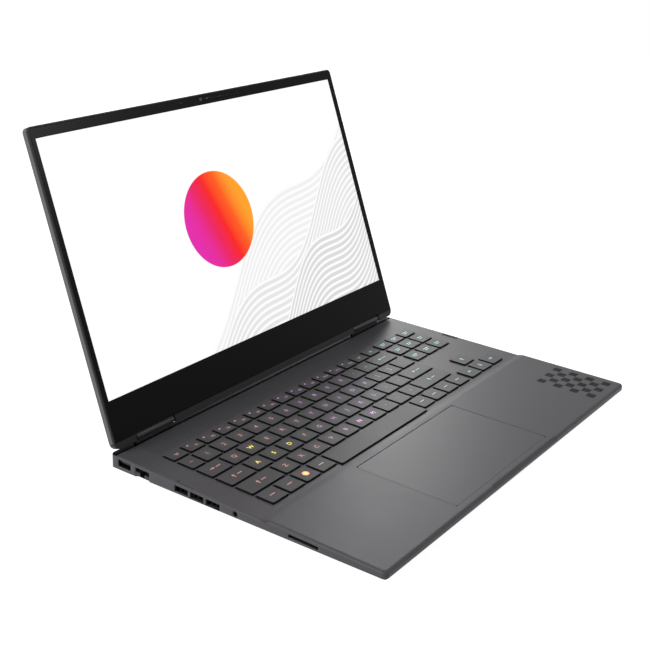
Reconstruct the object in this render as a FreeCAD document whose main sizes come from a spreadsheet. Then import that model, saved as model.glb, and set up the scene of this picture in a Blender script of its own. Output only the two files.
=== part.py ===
import FreeCAD, Part
import os
import re
import Sketcher

# A 16-inch laptop computer, lid open, standing on its rubber feet.
# Millimetres. X runs to the right, Y to the rear, Z up.
# The origin is the bottom centre of the open laptop's box.
# Lid pieces are drawn in the lid's own frame: origin on the hinge axis, Y up the lid, Z out of the screen.

SIZES = {
    # Base
    "base_width": 368.0,
    "hinge_y": 78.13,
    "hinge_to_front": 243.8,
    "hinge_to_rear": 2.8,
    "deck_height": 15.6,
    "palm_rise": 1.65,
    "foot_height": 1.6,
    "wall_rear": 10.24,
    "wall_front": 3.3,
    "front_corner": 4.0,
    "rear_corner": 4.0,
    "case_wall": 1.5,
    "ramp_length": 5.9,
    "seat_gap": 0.1,
    # Sides of small and of larger round forms that are hidden and that nothing turns in
    "few_sides": 8,
    "many_sides": 20,
    # Bottom cover
    "undercut": 2.2,
    "rear_undercut": 0.55,
    "cover_wall": 1.2,
    "cover_rim": 3.6,
    "slot_width": 2.4,
    "slot_pitch": 6.2,
    "slot_count": 9,
    "speaker_slot_pitch": 5.0,
    "speaker_slot_count": 8,
    "speaker_slot_length": 12.0,
    # Rubber feet and screws
    "foot_width": 8.0,
    "rear_foot_length": 300.0,
    "front_foot_length": 190.0,
    "rear_foot_y": 68.0,
    "front_foot_y": -132.0,
    "screw_head_r": 2.1,
    "screw_head_height": 0.6,
    "screw_shank_r": 1.0,
    "screw_length": 3.6,
    "screw_fit": 0.15,
    "screw_rear_x": 169.0,
    "screw_rear_y": 68.0,
    "screw_middle_x": 158.0,
    "screw_middle_y": -45.0,
    "screw_front_x": 105.0,
    "screw_front_y": -136.0,
    "screw_inner_x": 60.0,
    "screw_inner_y": -62.0,
    # Lid
    "lid_width": 367.8,
    "lid_reach": 243.5,
    "lid_tail": 2.8,
    "lid_thickness": 6.2,
    "lid_gap": 0.8,
    "lid_angle": 110.34,
    "lid_corner": 4.0,
    "lid_tail_corner": 6.0,
    "lid_rim": 1.3,
    "lid_back_wall": 1.2,
    "strip_top": 2.4,
    # Screen
    "screen_width": 356.4,
    "screen_height": 200.5,
    "screen_low": 33.76,
    "bezel_sink": 0.15,
    "bezel_thickness": 0.8,
    "bezel_fit": 0.1,
    "panel_thickness": 2.6,
    "panel_border": 1.5,
    "camera_r": 1.6,
    "camera_fit": 0.2,
    "camera_width": 24.0,
    "camera_height": 5.0,
    "camera_depth": 2.6,
    "board_width": 210.0,
    "board_height": 8.0,
    "board_thickness": 1.0,
    # Hinges
    "hinge_inner": 121.0,
    "hinge_outer": 161.0,
    "hinge_side_gap": 1.0,
    "hinge_cap_r": 2.9,
    "hinge_cap_wall": 0.45,
    "hinge_neck_front": 0.6,
    "hinge_neck_rear": 1.0,
    "hinge_neck_wall": 0.6,
    "hinge_swing_gap": 0.4,
    "barrel_r": 2.35,
    "barrel_inset": 3.0,
    "pin_r": 1.3,
    "pin_clearance": 0.05,
    "pin_overhang": 7.0,
    "eye_r": 2.2,
    "eye_length": 5.5,
    "bracket_depth": 16.0,
    "bracket_thickness": 1.4,
    "arm_height": 30.0,
    "arm_thickness": 1.0,
    # Keyboard
    "key_left": -163.9,
    "key_block": 271.2,
    "key_pitch": 18.82,
    "key_gap": 2.6,
    "key_row_pitch": 18.72,
    "key_front": -59.4,
    "key_proud": 1.4,
    "key_height": 2.4,
    "key_travel": 1.2,
    "key_corner": 0.9,
    "key_clearance": 0.45,
    "function_depth": 12.0,
    "function_count": 15,
    "digit_count": 12,
    "upper_count": 12,
    "home_count": 11,
    "lower_count": 10,
    "left_modifier_count": 3,
    "right_modifier_count": 4,
    "grave_width": 15.3,
    "tab_width": 24.7,
    "caps_width": 29.1,
    "shift_width": 38.5,
    "control_width": 19.6,
    "space_chin": 3.65,
    "navigation_gap": 2.6,
    "navigation_count": 3,
    "tray_margin": 3.0,
    "tray_floor": 0.8,
    "tray_clearance": 0.4,
    # Touchpad
    "pad_left": -85.7,
    "pad_width": 135.5,
    "pad_front": -158.5,
    "pad_depth": 85.2,
    "pad_gap": 0.3,
    "pad_sink": 0.15,
    "pad_thickness": 1.2,
    "pad_corner": 2.0,
    "pad_drop": 0.6,
    "pad_rim": 3.0,
    "pad_floor": 0.8,
    "pad_rib": 2.0,
    "pad_switch_inset": 10.6,
    # Front scoop and side scoops
    "scoop_left": -46.3,
    "scoop_length": 99.9,
    "scoop_depth": 2.4,
    "scoop_drop": 2.2,
    "side_scoop_front": -1.8,
    "side_scoop_length": 16.4,
    "side_scoop_width": 4.2,
    "side_scoop_drop": 1.0,
    # Sockets
    "usb_y": 65.9,
    "usb_z": 11.2,
    "usb_width": 12.5,
    "usb_height": 5.1,
    "usb_shell": 0.3,
    "usb_depth": 14.0,
    "usb_back_wall": 1.2,
    "usb_tongue": 1.84,
    "usb_tongue_width": 11.1,
    "usb_spacing": 20.0,
    "usb_right_count": 2,
    "net_y": 47.5,
    "net_width": 14.2,
    "net_top": 13.6,
    "net_wall": 0.7,
    "net_roof": 0.5,
    "net_depth": 15.4,
    "jaw_top": 10.1,
    "jaw_thickness": 2.9,
    "jaw_length": 12.0,
    "jaw_slot": 4.4,
    "jaw_slot_depth": 6.0,
    "jaw_pin_r": 0.8,
    "jaw_pin_inset": 1.4,
    "jaw_clearance": 0.3,
    "vent_y": 8.8,
    "vent_width": 13.0,
    "vent_pitch": 14.95,
    "vent_low": 8.4,
    "vent_height": 5.0,
    "vent_count": 3,
    "jack_y": -41.8,
    "jack_z": 11.6,
    "jack_bore_r": 1.8,
    "jack_ring_r": 2.45,
    "jack_body": 5.0,
    "jack_depth": 14.0,
    "card_y": -100.4,
    "card_z": 13.25,
    "card_width": 24.8,
    "card_height": 2.8,
    "card_shell": 0.6,
    "card_depth": 29.0,
    "rear_vent_inner": 103.0,
    "rear_vent_width": 2.4,
    "rear_vent_pitch": 4.0,
    "rear_vent_count": 15,
    "rear_vent_low": 6.4,
    "rear_vent_height": 6.0,
    "rear_port_z": 10.4,
    "rear_port_depth": 14.0,
    "video_x": 6.0,
    "video_width": 14.2,
    "video_height": 4.8,
    "video_tongue": 9.4,
    "port_shell": 0.5,
    "port_tongue": 1.2,
    "port_inset": 1.0,
    "type_c_x": 36.0,
    "type_c_width": 8.5,
    "type_c_height": 2.6,
    "type_c_tongue": 5.6,
    "power_x": -32.0,
    "power_bore_r": 3.75,
    "power_pin_r": 0.9,
    "power_body": 5.0,
    # Cooling
    "fan_x": 132.0,
    "fan_y": 30.0,
    "fan_width": 66.0,
    "fan_depth": 64.0,
    "fan_height": 6.6,
    "fan_plate": 0.8,
    "fan_cavity_r": 29.0,
    "fan_inlet_r": 20.0,
    "fan_shaft_r": 1.5,
    "fan_shaft_clearance": 0.05,
    "fan_running_gap": 0.6,
    "fan_hub_r": 11.0,
    "fan_tip_r": 27.5,
    "fan_blade": 0.8,
    "fan_blade_count": 21,
    "fan_outlet_width": 54.0,
    "fan_side_outlet": 15.0,
    "fin_depth": 13.4,
    "fin_gap": 0.3,
    "fin_thickness": 0.6,
    "fin_pitch": 4.0,
    "fin_count": 15,
    "fin_plate": 0.5,
    "side_fin_depth": 9.6,
    "side_fin_length": 43.8,
    "side_fin_height": 5.0,
    "side_fin_count": 11,
    "pipe_width": 7.0,
    "pipe_thickness": 2.4,
    "pipe_reach": 158.0,
    "pipe_knee": 74.0,
    "pipe_middle": 34.0,
    "pipe_bend": 8.0,
    "spreader_width": 96.0,
    "spreader_depth": 36.0,
    # Electronics
    "mainboard_width": 192.0,
    "mainboard_front": -52.0,
    "mainboard_depth": 128.0,
    "mainboard_height": 6.0,
    "mainboard_thickness": 1.2,
    "mainboard_post": 4.0,
    "mainboard_post_x": 88.0,
    "mainboard_post_y": 8.0,
    "chip_size": 30.0,
    "chip_height": 0.9,
    "chip_x": 28.0,
    "battery_width": 196.0,
    "battery_front": -134.0,
    "battery_depth": 62.0,
    "battery_height": 5.6,
    "battery_tray": 1.2,
    "cell_pitch": 49.0,
    "cell_gap": 1.6,
    "cell_count": 4,
    "drive_x": 10.0,
    "drive_y": -46.0,
    "drive_length": 80.0,
    "drive_width": 22.0,
    "drive_chip": 14.0,
    "drive_chip_pitch": 18.0,
    "drive_chip_count": 3,
    "memory_x": -82.0,
    "memory_y": -48.0,
    "memory_length": 68.0,
    "memory_width": 30.0,
    "memory_pitch": 2.2,
    "memory_count": 2,
    "wireless_x": -92.0,
    "wireless_y": -10.0,
    "wireless_length": 30.0,
    "wireless_width": 22.0,
    "card_board": 0.8,
    "card_lift": 0.8,
    "card_chip": 1.2,
    "card_socket": 6.0,
    "speaker_x": 112.0,
    "speaker_y": -136.0,
    "speaker_width": 46.0,
    "speaker_depth": 38.0,
    "speaker_height": 5.6,
    "speaker_cone_r": 14.0,
    "speaker_cone": 0.8,
}

# Places that follow from the sizes above, written with the sheet's names.
PLACES = {
    "side": "base_width / 2",
    "front": "hinge_y - hinge_to_front",
    "rear": "hinge_y + hinge_to_rear",
    "base_depth": "hinge_to_front + hinge_to_rear",
    "palm": "deck_height + palm_rise",
    "deck_under": "deck_height - case_wall",
    "palm_under": "palm - case_wall",
    "ramp_rear": "key_front - space_chin - key_clearance",
    "ramp_front": "ramp_rear - ramp_length",
    "wall_low_front": "deck_height - wall_front",
    "wall_low_rear": "deck_height - wall_rear",
    "cover_slope": "((wall_rear - wall_front) / base_depth)",
    "cover_tilt": "atan(cover_slope)",
    "floor_top": "foot_height + cover_wall",
    "hinge_z": "palm + lid_gap + lid_thickness / 2",
    "half_lid": "lid_thickness / 2",
    "lid_side": "lid_width / 2",
    "lid_floor": "lid_back_wall - half_lid",
    "bezel_back": "half_lid - bezel_sink - bezel_thickness",
    "screen_top": "screen_low + screen_height",
    "notch_top": "hinge_cap_r + hinge_swing_gap",
    "notch_inner": "hinge_inner - hinge_side_gap",
    "notch_outer": "hinge_outer + hinge_side_gap",
    "key_top": "deck_height + key_proud",
    "key_low": "key_top - key_height",
    "key_side": "key_gap / 2",
    "right_cluster": "key_right - right_modifier_count * key_pitch",
    "space_left": "key_left + control_width + left_modifier_count * key_pitch",
    "digit_end": "grave_width + digit_count * key_pitch",
    "upper_end": "tab_width + upper_count * key_pitch",
    "home_end": "caps_width + home_count * key_pitch",
    "lower_end": "shift_width + lower_count * key_pitch",
    "key_right": "key_left + key_block",
    "function_pitch": "key_block / function_count",
    "navigation_left": "key_right + navigation_gap",
    "tray_top": "key_low - key_travel - tray_clearance",
    "pad_right": "pad_left + pad_width",
    "pad_rear": "pad_front + pad_depth",
    "pad_top": "palm - pad_sink",
    "pad_low": "pad_top - pad_thickness",
    "net_half": "net_width / 2",
    "net_outer": "net_half + net_wall",
    "jaw_half": "net_half - jaw_clearance",
    "jaw_z": "jaw_top - jaw_thickness / 2",
    "jaw_x": "seat_gap + jaw_length - jaw_pin_inset - side",
    "vent_half": "vent_width / 2",
    "fan_low": "floor_top",
    "fan_top": "floor_top + fan_height",
    "fan_inner": "fan_x - fan_width / 2",
    "fan_outer": "fan_x + fan_width / 2",
    "fan_front": "fan_y - fan_depth / 2",
    "fan_rear": "fan_y + fan_depth / 2",
    "fan_room_low": "fan_low + fan_plate",
    "fan_room_top": "fan_top - fan_plate",
    "rotor_low": "fan_room_low + fan_running_gap",
    "rotor_top": "fan_room_top - fan_running_gap",
    "fin_half": "fin_pitch * (fin_count - 1) / 2 + fin_thickness / 2",
    "fin_y": "fan_rear + fin_gap",
    "pipe_y": "fin_y + fin_depth / 2",
    "pipe_inner": "chip_x + chip_size / 2",
    "pipe_turn": "atan((pipe_y - pipe_middle) / (pipe_knee - pipe_inner))",
    "board_top": "mainboard_height + mainboard_thickness",
    "chip_top": "board_top + chip_height",
    "mainboard_rear": "mainboard_front + mainboard_depth",
    "battery_low": "floor_top + battery_tray",
}

WORD = re.compile(r"[a-z_][a-z_0-9]*")


def ex(text):
    """An expression for the sheet, with places written out and sizes read from their cells."""
    def swap(match):
        word = match.group(0)
        if word in PLACES:
            return "(" + ex(PLACES[word]) + ")"
        return "Sizes." + word if word in SIZES else word
    return WORD.sub(swap, str(text))


doc = FreeCAD.newDocument("laptop")
sheet = doc.addObject("Spreadsheet::Sheet", "Sizes")
for line, (name, value) in enumerate(SIZES.items(), start=1):
    sheet.set(f"A{line}", name)
    sheet.set(f"B{line}", str(value))
    sheet.setAlias(f"B{line}", name)
doc.recompute()

SUBPARTS = []
X_AXIS = FreeCAD.Vector(1, 0, 0)
Y_AXIS = FreeCAD.Vector(0, 1, 0)
Z_AXIS = FreeCAD.Vector(0, 0, 1)
QUARTER_TURN = 90
PARALLEL = 0.9
SLACK = 0.01
LEFT, RIGHT = -1, 1
SIDES = {"left": LEFT, "right": RIGHT}
SCREWS = ("rear", "middle", "front", "inner")
BOX_UPRIGHTS = ["Edge1", "Edge3", "Edge5", "Edge7"]


def new_body(label):
    body = doc.addObject("PartDesign::Body", label)
    body.Label = label
    body.AllowCompound = True
    SUBPARTS.append(body)
    return body


def lid_body(label):
    """A body in the lid's frame, tipped back by the opening angle about the hinge axis."""
    body = new_body(label)
    body.Placement = FreeCAD.Placement(FreeCAD.Vector(), FreeCAD.Rotation(X_AXIS, QUARTER_TURN))
    body.setExpression("Placement.Base.y", ex("hinge_y"))
    body.setExpression("Placement.Base.z", ex("hinge_z"))
    body.setExpression("Placement.Rotation.Angle", ex("(180 - lid_angle) * 1 deg"))
    return body


def origin_part(body, role):
    return next(item for item in body.Origin.OriginFeatures if item.Role == role)


def add(body, kind, name):
    return body.newObject("PartDesign::" + kind, f"{body.Name}_{name}")


def mirrored(span, side):
    low, high = span
    return span if side == RIGHT else (f"-({high})", f"-({low})")


def around(centre, width):
    """A span of the given width about a centre."""
    return (f"{centre} - ({width}) / 2", f"{centre} + ({width}) / 2")


def box(body, name, x, y, z, cut=False):
    """A block between the low and high places given for each axis, added to the body or cut from it."""
    block = add(body, "SubtractiveBox" if cut else "AdditiveBox", name)
    for axis, side, (low, high) in zip("xyz", ("Length", "Width", "Height"), (x, y, z)):
        block.setExpression(side, ex(f"({high}) - ({low})"))
        block.setExpression(f"Placement.Base.{axis}", ex(low))
    return block


def rod(body, name, radius, span, at, along="z", cut=False, sides=None):
    """A cylinder along an axis, or a prism if sides are given; at is its centre on the other two axes."""
    kind = "Prism" if sides else "Cylinder"
    cylinder = add(body, ("Subtractive" if cut else "Additive") + kind, name)
    low, high = span
    turn = {"x": FreeCAD.Rotation(Y_AXIS, QUARTER_TURN), "y": FreeCAD.Rotation(X_AXIS, -QUARTER_TURN)}
    if along in turn:
        cylinder.Placement = FreeCAD.Placement(FreeCAD.Vector(), turn[along])
    if sides:
        cylinder.setExpression("Polygon", ex(sides))
    cylinder.setExpression("Circumradius" if sides else "Radius", ex(radius))
    cylinder.setExpression("Height", ex(f"({high}) - ({low})"))
    cylinder.setExpression(f"Placement.Base.{along}", ex(low))
    for axis, place in zip("xyz".replace(along, ""), at):
        cylinder.setExpression(f"Placement.Base.{axis}", ex(place))
    return cylinder


def outline(body, name, role, points):
    """A closed sketch through points given as pairs of places on one of the body's own planes."""
    sketch = body.newObject("Sketcher::SketchObject", f"{body.Name}_{name}")
    sketch.AttachmentSupport = [(origin_part(body, role), "")]
    sketch.MapMode = "FlatFace"
    count = len(points)
    start = [FreeCAD.Vector(value_of(u), value_of(v), 0) for u, v in points]
    for index in range(count):
        sketch.addGeometry(Part.LineSegment(start[index], start[(index + 1) % count]), False)
    for index in range(count):
        sketch.addConstraint(Sketcher.Constraint("Coincident", index, 2, (index + 1) % count, 1))
    for index, (u, v) in enumerate(points):
        for kind, place, here in (("DistanceX", u, start[index].x), ("DistanceY", v, start[index].y)):
            number = sketch.addConstraint(Sketcher.Constraint(kind, -1, 1, index, 1, here))
            sketch.setExpression(f"Constraints[{number}]", ex(place))
    return sketch


def value_of(text):
    """What an expression comes to with the sheet's present sizes."""
    cell = sheet.evalExpression(ex(text))
    return float(getattr(cell, "Value", cell))


def extrude(body, name, sketch, low, high, cut=False):
    """A pad or pocket of a sketch along its normal, between two places on that axis."""
    feature = add(body, "Pocket" if cut else "Pad", name)
    feature.Profile = sketch
    feature.Type = "Length"
    feature.Reversed = cut
    feature.setExpression("Length", ex(f"({high}) - ({low})"))
    sketch.setExpression("AttachmentOffset.Base.z", ex(low))
    sketch.Visibility = False
    return feature


def pattern(body, name, features, role, step, count, back=False):
    """Copies of the given features along one of the body's axes, a step apart, or back against the axis."""
    row = add(body, "LinearPattern", name)
    row.Originals = features
    row.Direction = (origin_part(body, role), [""])
    row.Mode = "Spacing"
    row.Reversed = back
    row.setExpression("Offset", ex(step))
    row.setExpression("Occurrences", ex(count))
    body.Tip = row
    return row


def mirror(body, name, features):
    """The same features on the other side of the body's YZ plane."""
    copy = add(body, "Mirrored", name)
    copy.Originals = features
    copy.MirrorPlane = (origin_part(body, "YZ_Plane"), [""])
    body.Tip = copy
    return copy


def edges(feature, direction, test):
    """Names of the straight edges of a feature that run along a direction and pass a test on their middle."""
    doc.recompute()
    names = []
    for number, edge in enumerate(feature.Shape.Edges, start=1):
        if edge.Curve.TypeId != "Part::GeomLine":
            continue
        along = (edge.lastVertex().Point - edge.firstVertex().Point).normalize()
        if abs(along.dot(direction)) > PARALLEL and test(edge.CenterOfMass):
            names.append(f"Edge{number}")
    return names


def fillet(body, name, feature, names, radius):
    curve = add(body, "Fillet", name)
    curve.Base = (feature, names)
    curve.setExpression("Radius", ex(radius))
    return curve


def chamfer(body, name, feature, names, size):
    flat = add(body, "Chamfer", name)
    flat.Base = (feature, names)
    flat.setExpression("Size", ex(size))
    return flat


# Keys: each run is (node, row, first cell's left, cell width, count), with rows counted from the front.
FUNCTION_ROW = 5
KEY_RUNS = [
    ("bottom_keys", 0, "key_left", "control_width", 1),
    ("bottom_keys", 0, "key_left + control_width", "key_pitch", "left_modifier_count"),
    ("bottom_keys", 0, "right_cluster", "key_pitch", "right_modifier_count"),
    ("space_bar", 0, "space_left", "right_cluster - space_left", 1),
    ("left_shift_key", 1, "key_left", "shift_width", 1),
    ("lower_letter_keys", 1, "key_left + shift_width", "key_pitch", "lower_count"),
    ("right_shift_key", 1, "key_left + lower_end", "key_block - lower_end", 1),
    ("caps_lock_key", 2, "key_left", "caps_width", 1),
    ("home_letter_keys", 2, "key_left + caps_width", "key_pitch", "home_count"),
    ("enter_key", 2, "key_left + home_end", "key_block - home_end", 1),
    ("tab_key", 3, "key_left", "tab_width", 1),
    ("upper_letter_keys", 3, "key_left + tab_width", "key_pitch", "upper_count"),
    ("upper_letter_keys", 3, "key_left + upper_end", "key_block - upper_end", 1),
    ("digit_keys", 4, "key_left", "grave_width", 1),
    ("digit_keys", 4, "key_left + grave_width", "key_pitch", "digit_count"),
    ("backspace_key", 4, "key_left + digit_end", "key_block - digit_end", 1),
    ("function_keys", FUNCTION_ROW, "key_left", "function_pitch", "function_count"),
    ("navigation_keys", 3, "navigation_left", "key_pitch", "navigation_count"),
    ("navigation_keys", 4, "navigation_left", "key_pitch", "navigation_count"),
    ("navigation_keys", FUNCTION_ROW, "navigation_left", "key_pitch", "navigation_count"),
    ("arrow_keys", 0, "navigation_left", "key_pitch", "navigation_count"),
    ("arrow_keys", 1, "navigation_left + key_pitch", "key_pitch", 1),
]


def key_box(body, name, run, grow, z, cut=False):
    """The first cap of a run of keys, or the opening for it when it is grown by the clearance."""
    node, row, left, width, count = run
    front = f"key_front + key_side + {row} * key_row_pitch - {grow}"
    depth = "function_depth" if row == FUNCTION_ROW else "key_row_pitch - key_gap"
    chin = "space_chin" if node == "space_bar" else "0"
    x = (f"{left} + key_side - {grow}", f"{left} + {width} - key_side + {grow}")
    y = (f"{front} - {chin}", f"{front} + {depth} + 2 * {grow}")
    return box(body, name, x, y, z, cut)


def build_keys():
    bodies = {}
    for number, run in enumerate(KEY_RUNS):
        node, row, left, width, count = run
        body = bodies.get(node) or new_body(node)
        bodies[node] = body
        cap = key_box(body, f"cap{number}", run, "0", ("key_low", "key_top"))
        doc.recompute()
        if len(body.Group) > 1:
            names = edges(cap, Z_AXIS, corner_test(run))
        else:
            names = BOX_UPRIGHTS
        trimmed = chamfer(body, f"corner{number}", cap, names, "key_corner")
        if count != 1:
            pattern(body, f"row{number}", [cap, trimmed], "X_Axis", width, count)


def corner_test(run):
    """Picks the upright edges of one run's first cap among those of the caps before it."""
    node, row, left, width, count = run
    left_edge = value_of(f"{left} + key_side")
    right_edge = value_of(f"{left} + {width} - key_side")
    front_edge = value_of(f"key_front + key_side + {row} * key_row_pitch")
    pitch = value_of("key_row_pitch")

    def test(point):
        in_row = front_edge - SLACK < point.y < front_edge + pitch
        return in_row and left_edge - SLACK < point.x < right_edge + SLACK
    return test


def build_top_case():
    body = new_body("top_case")
    skin = [
        ("front", "wall_low_front"), ("front", "palm"), ("ramp_front", "palm"), ("ramp_rear", "deck_height"),
        ("rear", "deck_height"), ("rear", "wall_low_rear"),
    ]
    shell = extrude(body, "shell", outline(body, "skin", "YZ_Plane", skin), "-side", "side")
    middle = value_of("(front + rear) / 2")
    front_edges = edges(shell, Z_AXIS, lambda point: point.y < middle)
    front = fillet(body, "front_corners", shell, front_edges, "front_corner")
    rear_edges = edges(front, Z_AXIS, lambda point: point.y > middle)
    rear = fillet(body, "rear_corners", front, rear_edges, "rear_corner")
    hollow = add(body, "Thickness", "walls")
    hollow.Base = (rear, [under_face(rear)])
    hollow.Reversed = True
    hollow.setExpression("Value", ex("case_wall"))
    cut_deck(body)
    cut_side_walls(body)
    cut_rear_wall(body)
    cut_keyboard(body)


def under_face(feature):
    """Name of the feature's lowest face, the one that is left open."""
    doc.recompute()
    faces = enumerate(feature.Shape.Faces, start=1)
    return "Face" + str(min(faces, key=lambda item: item[1].CenterOfMass.z)[0])


def cut_keyboard(body):
    """An opening for each key with the clearance round its cap, taken from the same runs as the caps."""
    through = ("deck_under - seat_gap", "deck_height + palm_rise")
    openings = doc.addObject("PartDesign::Body", "key_openings")
    openings.AllowCompound = True
    for number, run in enumerate(KEY_RUNS):
        node, row, left, width, count = run
        opening = key_box(openings, f"opening{number}", run, "key_clearance", through)
        if count != 1:
            pattern(openings, f"openings{number}", [opening], "X_Axis", width, count)
    grid = add(body, "Boolean", "keyboard")
    grid.Type = "Cut"
    grid.Group = [openings]


def cut_deck(body):
    """The touchpad's opening, the hinge slots, the finger scoop and the scoops above the side vents."""
    pad_y = ("pad_front", "pad_rear")
    box(body, "pad_opening", ("pad_left", "pad_right"), pad_y, ("deck_height", "palm + seat_gap"), True)
    scoop = [("front - seat_gap", "palm - scoop_drop"), ("front + scoop_depth", "palm + seat_gap"),
             ("front - seat_gap", "palm + seat_gap")]
    profile = outline(body, "scoop", "YZ_Plane", scoop)
    extrude(body, "finger_scoop", profile, "scoop_left", "scoop_left + scoop_length", cut=True)
    for name, side in SIDES.items():
        neck_x = mirrored(("hinge_inner", "hinge_outer"), side)
        neck_y = ("hinge_y - hinge_neck_front", "hinge_y + hinge_neck_rear")
        neck_z = ("deck_under - seat_gap", "deck_height + seat_gap")
        box(body, f"hinge_slot_{name}", neck_x, neck_y, neck_z, True)
        outer = f"{side} * (side - case_wall)"
        inner = f"{side} * (side - case_wall - side_scoop_width)"
        wedge = [(inner, "deck_height"), (outer, "deck_height - side_scoop_drop"), (outer, "deck_height")]
        slope = outline(body, f"side_scoop_{name}", "XZ_Plane", wedge if side == RIGHT else wedge[::-1])
        scoop_rear = "-(side_scoop_front + side_scoop_length)"
        extrude(body, f"side_cut_{name}", slope, scoop_rear, "-side_scoop_front", True)


def cut_side_walls(body):
    """Openings for the sockets on both sides, with three vents in a row on each."""
    for name, side in SIDES.items():
        wall = mirrored(("side - case_wall - seat_gap", "side + seat_gap"), side)
        vent_y = ("vent_y - vent_half", "vent_y + vent_half")
        vent = box(body, f"vent_{name}", wall, vent_y, ("vent_low", "vent_low + vent_height"), True)
        pattern(body, f"vents_{name}", [vent], "Y_Axis", "vent_pitch", "vent_count", back=True)
        usb_y = "usb_width / 2 + usb_shell + seat_gap"
        usb_z = "usb_height / 2 + usb_shell + seat_gap"
        hole = box(body, f"usb_{name}", wall, (f"usb_y - ({usb_y})", f"usb_y + {usb_y}"),
                   (f"usb_z - ({usb_z})", f"usb_z + {usb_z}"), True)
        if side == RIGHT:
            pattern(body, "usb_pair", [hole], "Y_Axis", "usb_spacing", "usb_right_count", back=True)
    wall = mirrored(("side - case_wall - seat_gap", "side + seat_gap"), LEFT)
    net_y = around("net_y", "net_width")
    box(body, "net_hole", wall, net_y, ("wall_low_rear - seat_gap", "net_top"), True)
    rod(body, "jack_hole", "jack_ring_r + seat_gap", wall, ("jack_y", "jack_z"), "x", True)
    box(body, "card_slot", wall, around("card_y", "card_width"),
        around("card_z", "card_height"), True)


def cut_rear_wall(body):
    """Exhaust slots in front of the fins, and the openings for the sockets between them."""
    wall = ("rear - case_wall - seat_gap", "rear + seat_gap")
    slot_z = ("rear_vent_low", "rear_vent_low + rear_vent_height")
    for name, side in SIDES.items():
        slot_x = mirrored(("rear_vent_inner", "rear_vent_inner + rear_vent_width"), side)
        slot = box(body, f"rear_vent_{name}", slot_x, wall, slot_z, True)
        back = side == LEFT
        pattern(body, f"rear_vents_{name}", [slot], "X_Axis", "rear_vent_pitch", "rear_vent_count", back)
    for name in ("video", "type_c"):
        half_x = f"({name}_width / 2 + port_shell + seat_gap)"
        half_z = f"({name}_height / 2 + port_shell + seat_gap)"
        box(body, f"{name}_hole", (f"{name}_x - {half_x}", f"{name}_x + {half_x}"), wall,
            (f"rear_port_z - {half_z}", f"rear_port_z + {half_z}"), True)
    rod(body, "power_hole", "power_body + seat_gap", wall, ("power_x", "rear_port_z"), "y", True)


def cover_level(y):
    """Height of the sloping parting line at a place along the base."""
    return f"(wall_low_front - ({y} - front) * cover_slope)"


def build_bottom_cover():
    """A rounded slab, undercut on all sides below the sloping parting line and hollowed from above."""
    body = new_body("bottom_cover")
    slab = box(body, "slab", ("-side", "side"), ("front", "rear"), ("foot_height", "wall_low_front"))
    middle = value_of("(front + rear) / 2")
    front_edges = edges(slab, Z_AXIS, lambda point: point.y < middle)
    front = fillet(body, "front_corners", slab, front_edges, "front_corner")
    rear_edges = edges(front, Z_AXIS, lambda point: point.y > middle)
    fillet(body, "rear_corners", front, rear_edges, "rear_corner")
    ahead, behind = "front - seat_gap", "rear + seat_gap"
    wide = ("-side - seat_gap", "side + seat_gap")
    above = "wall_low_front + seat_gap"
    below = "foot_height - seat_gap"
    lid = outline(body, "lid", "YZ_Plane", [
        (ahead, cover_level(ahead)), (behind, cover_level(behind)),
        (behind, above), (ahead, f"{above} + seat_gap"),
    ])
    extrude(body, "parting", lid, *wide, cut=True)
    nose = outline(body, "nose", "YZ_Plane", [
        ("front - seat_gap * undercut", above), ("front - seat_gap * undercut", below),
        ("front + (wall_low_front - foot_height + seat_gap) * undercut", below),
    ])
    extrude(body, "front_undercut", nose, *wide, cut=True)
    heel = outline(body, "heel", "YZ_Plane", [
        ("rear + seat_gap * rear_undercut", "wall_low_rear + seat_gap"),
        ("rear - (wall_low_rear - foot_height + seat_gap) * rear_undercut", below),
        ("rear + seat_gap * rear_undercut", below),
    ])
    extrude(body, "rear_undercut", heel, *wide, cut=True)
    sections = [flank_section(body, "flank_front", ahead), flank_section(body, "flank_rear", behind)]
    flank = loft(body, "flank", sections)
    mirror(body, "flanks", [flank])
    hollow_cover(body)
    cut_bottom(body)


def flank_section(body, name, y):
    """The triangle that is cut away under the side edge at one place along the base."""
    level = cover_level(y)
    out = "side + seat_gap * undercut"
    sketch = outline(body, name, "XZ_Plane", [
        (out, f"{level} + seat_gap"), (out, "foot_height - seat_gap"),
        (f"side - ({level} - foot_height + seat_gap) * undercut", "foot_height - seat_gap"),
    ])
    sketch.setExpression("AttachmentOffset.Base.z", ex(f"-({y})"))
    return sketch


def loft(body, name, sections):
    """A cut with flat sides between two sketches."""
    feature = add(body, "SubtractiveLoft", name)
    feature.Profile = sections[0]
    feature.Sections = sections[1:]
    feature.Ruled = True
    return feature


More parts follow.
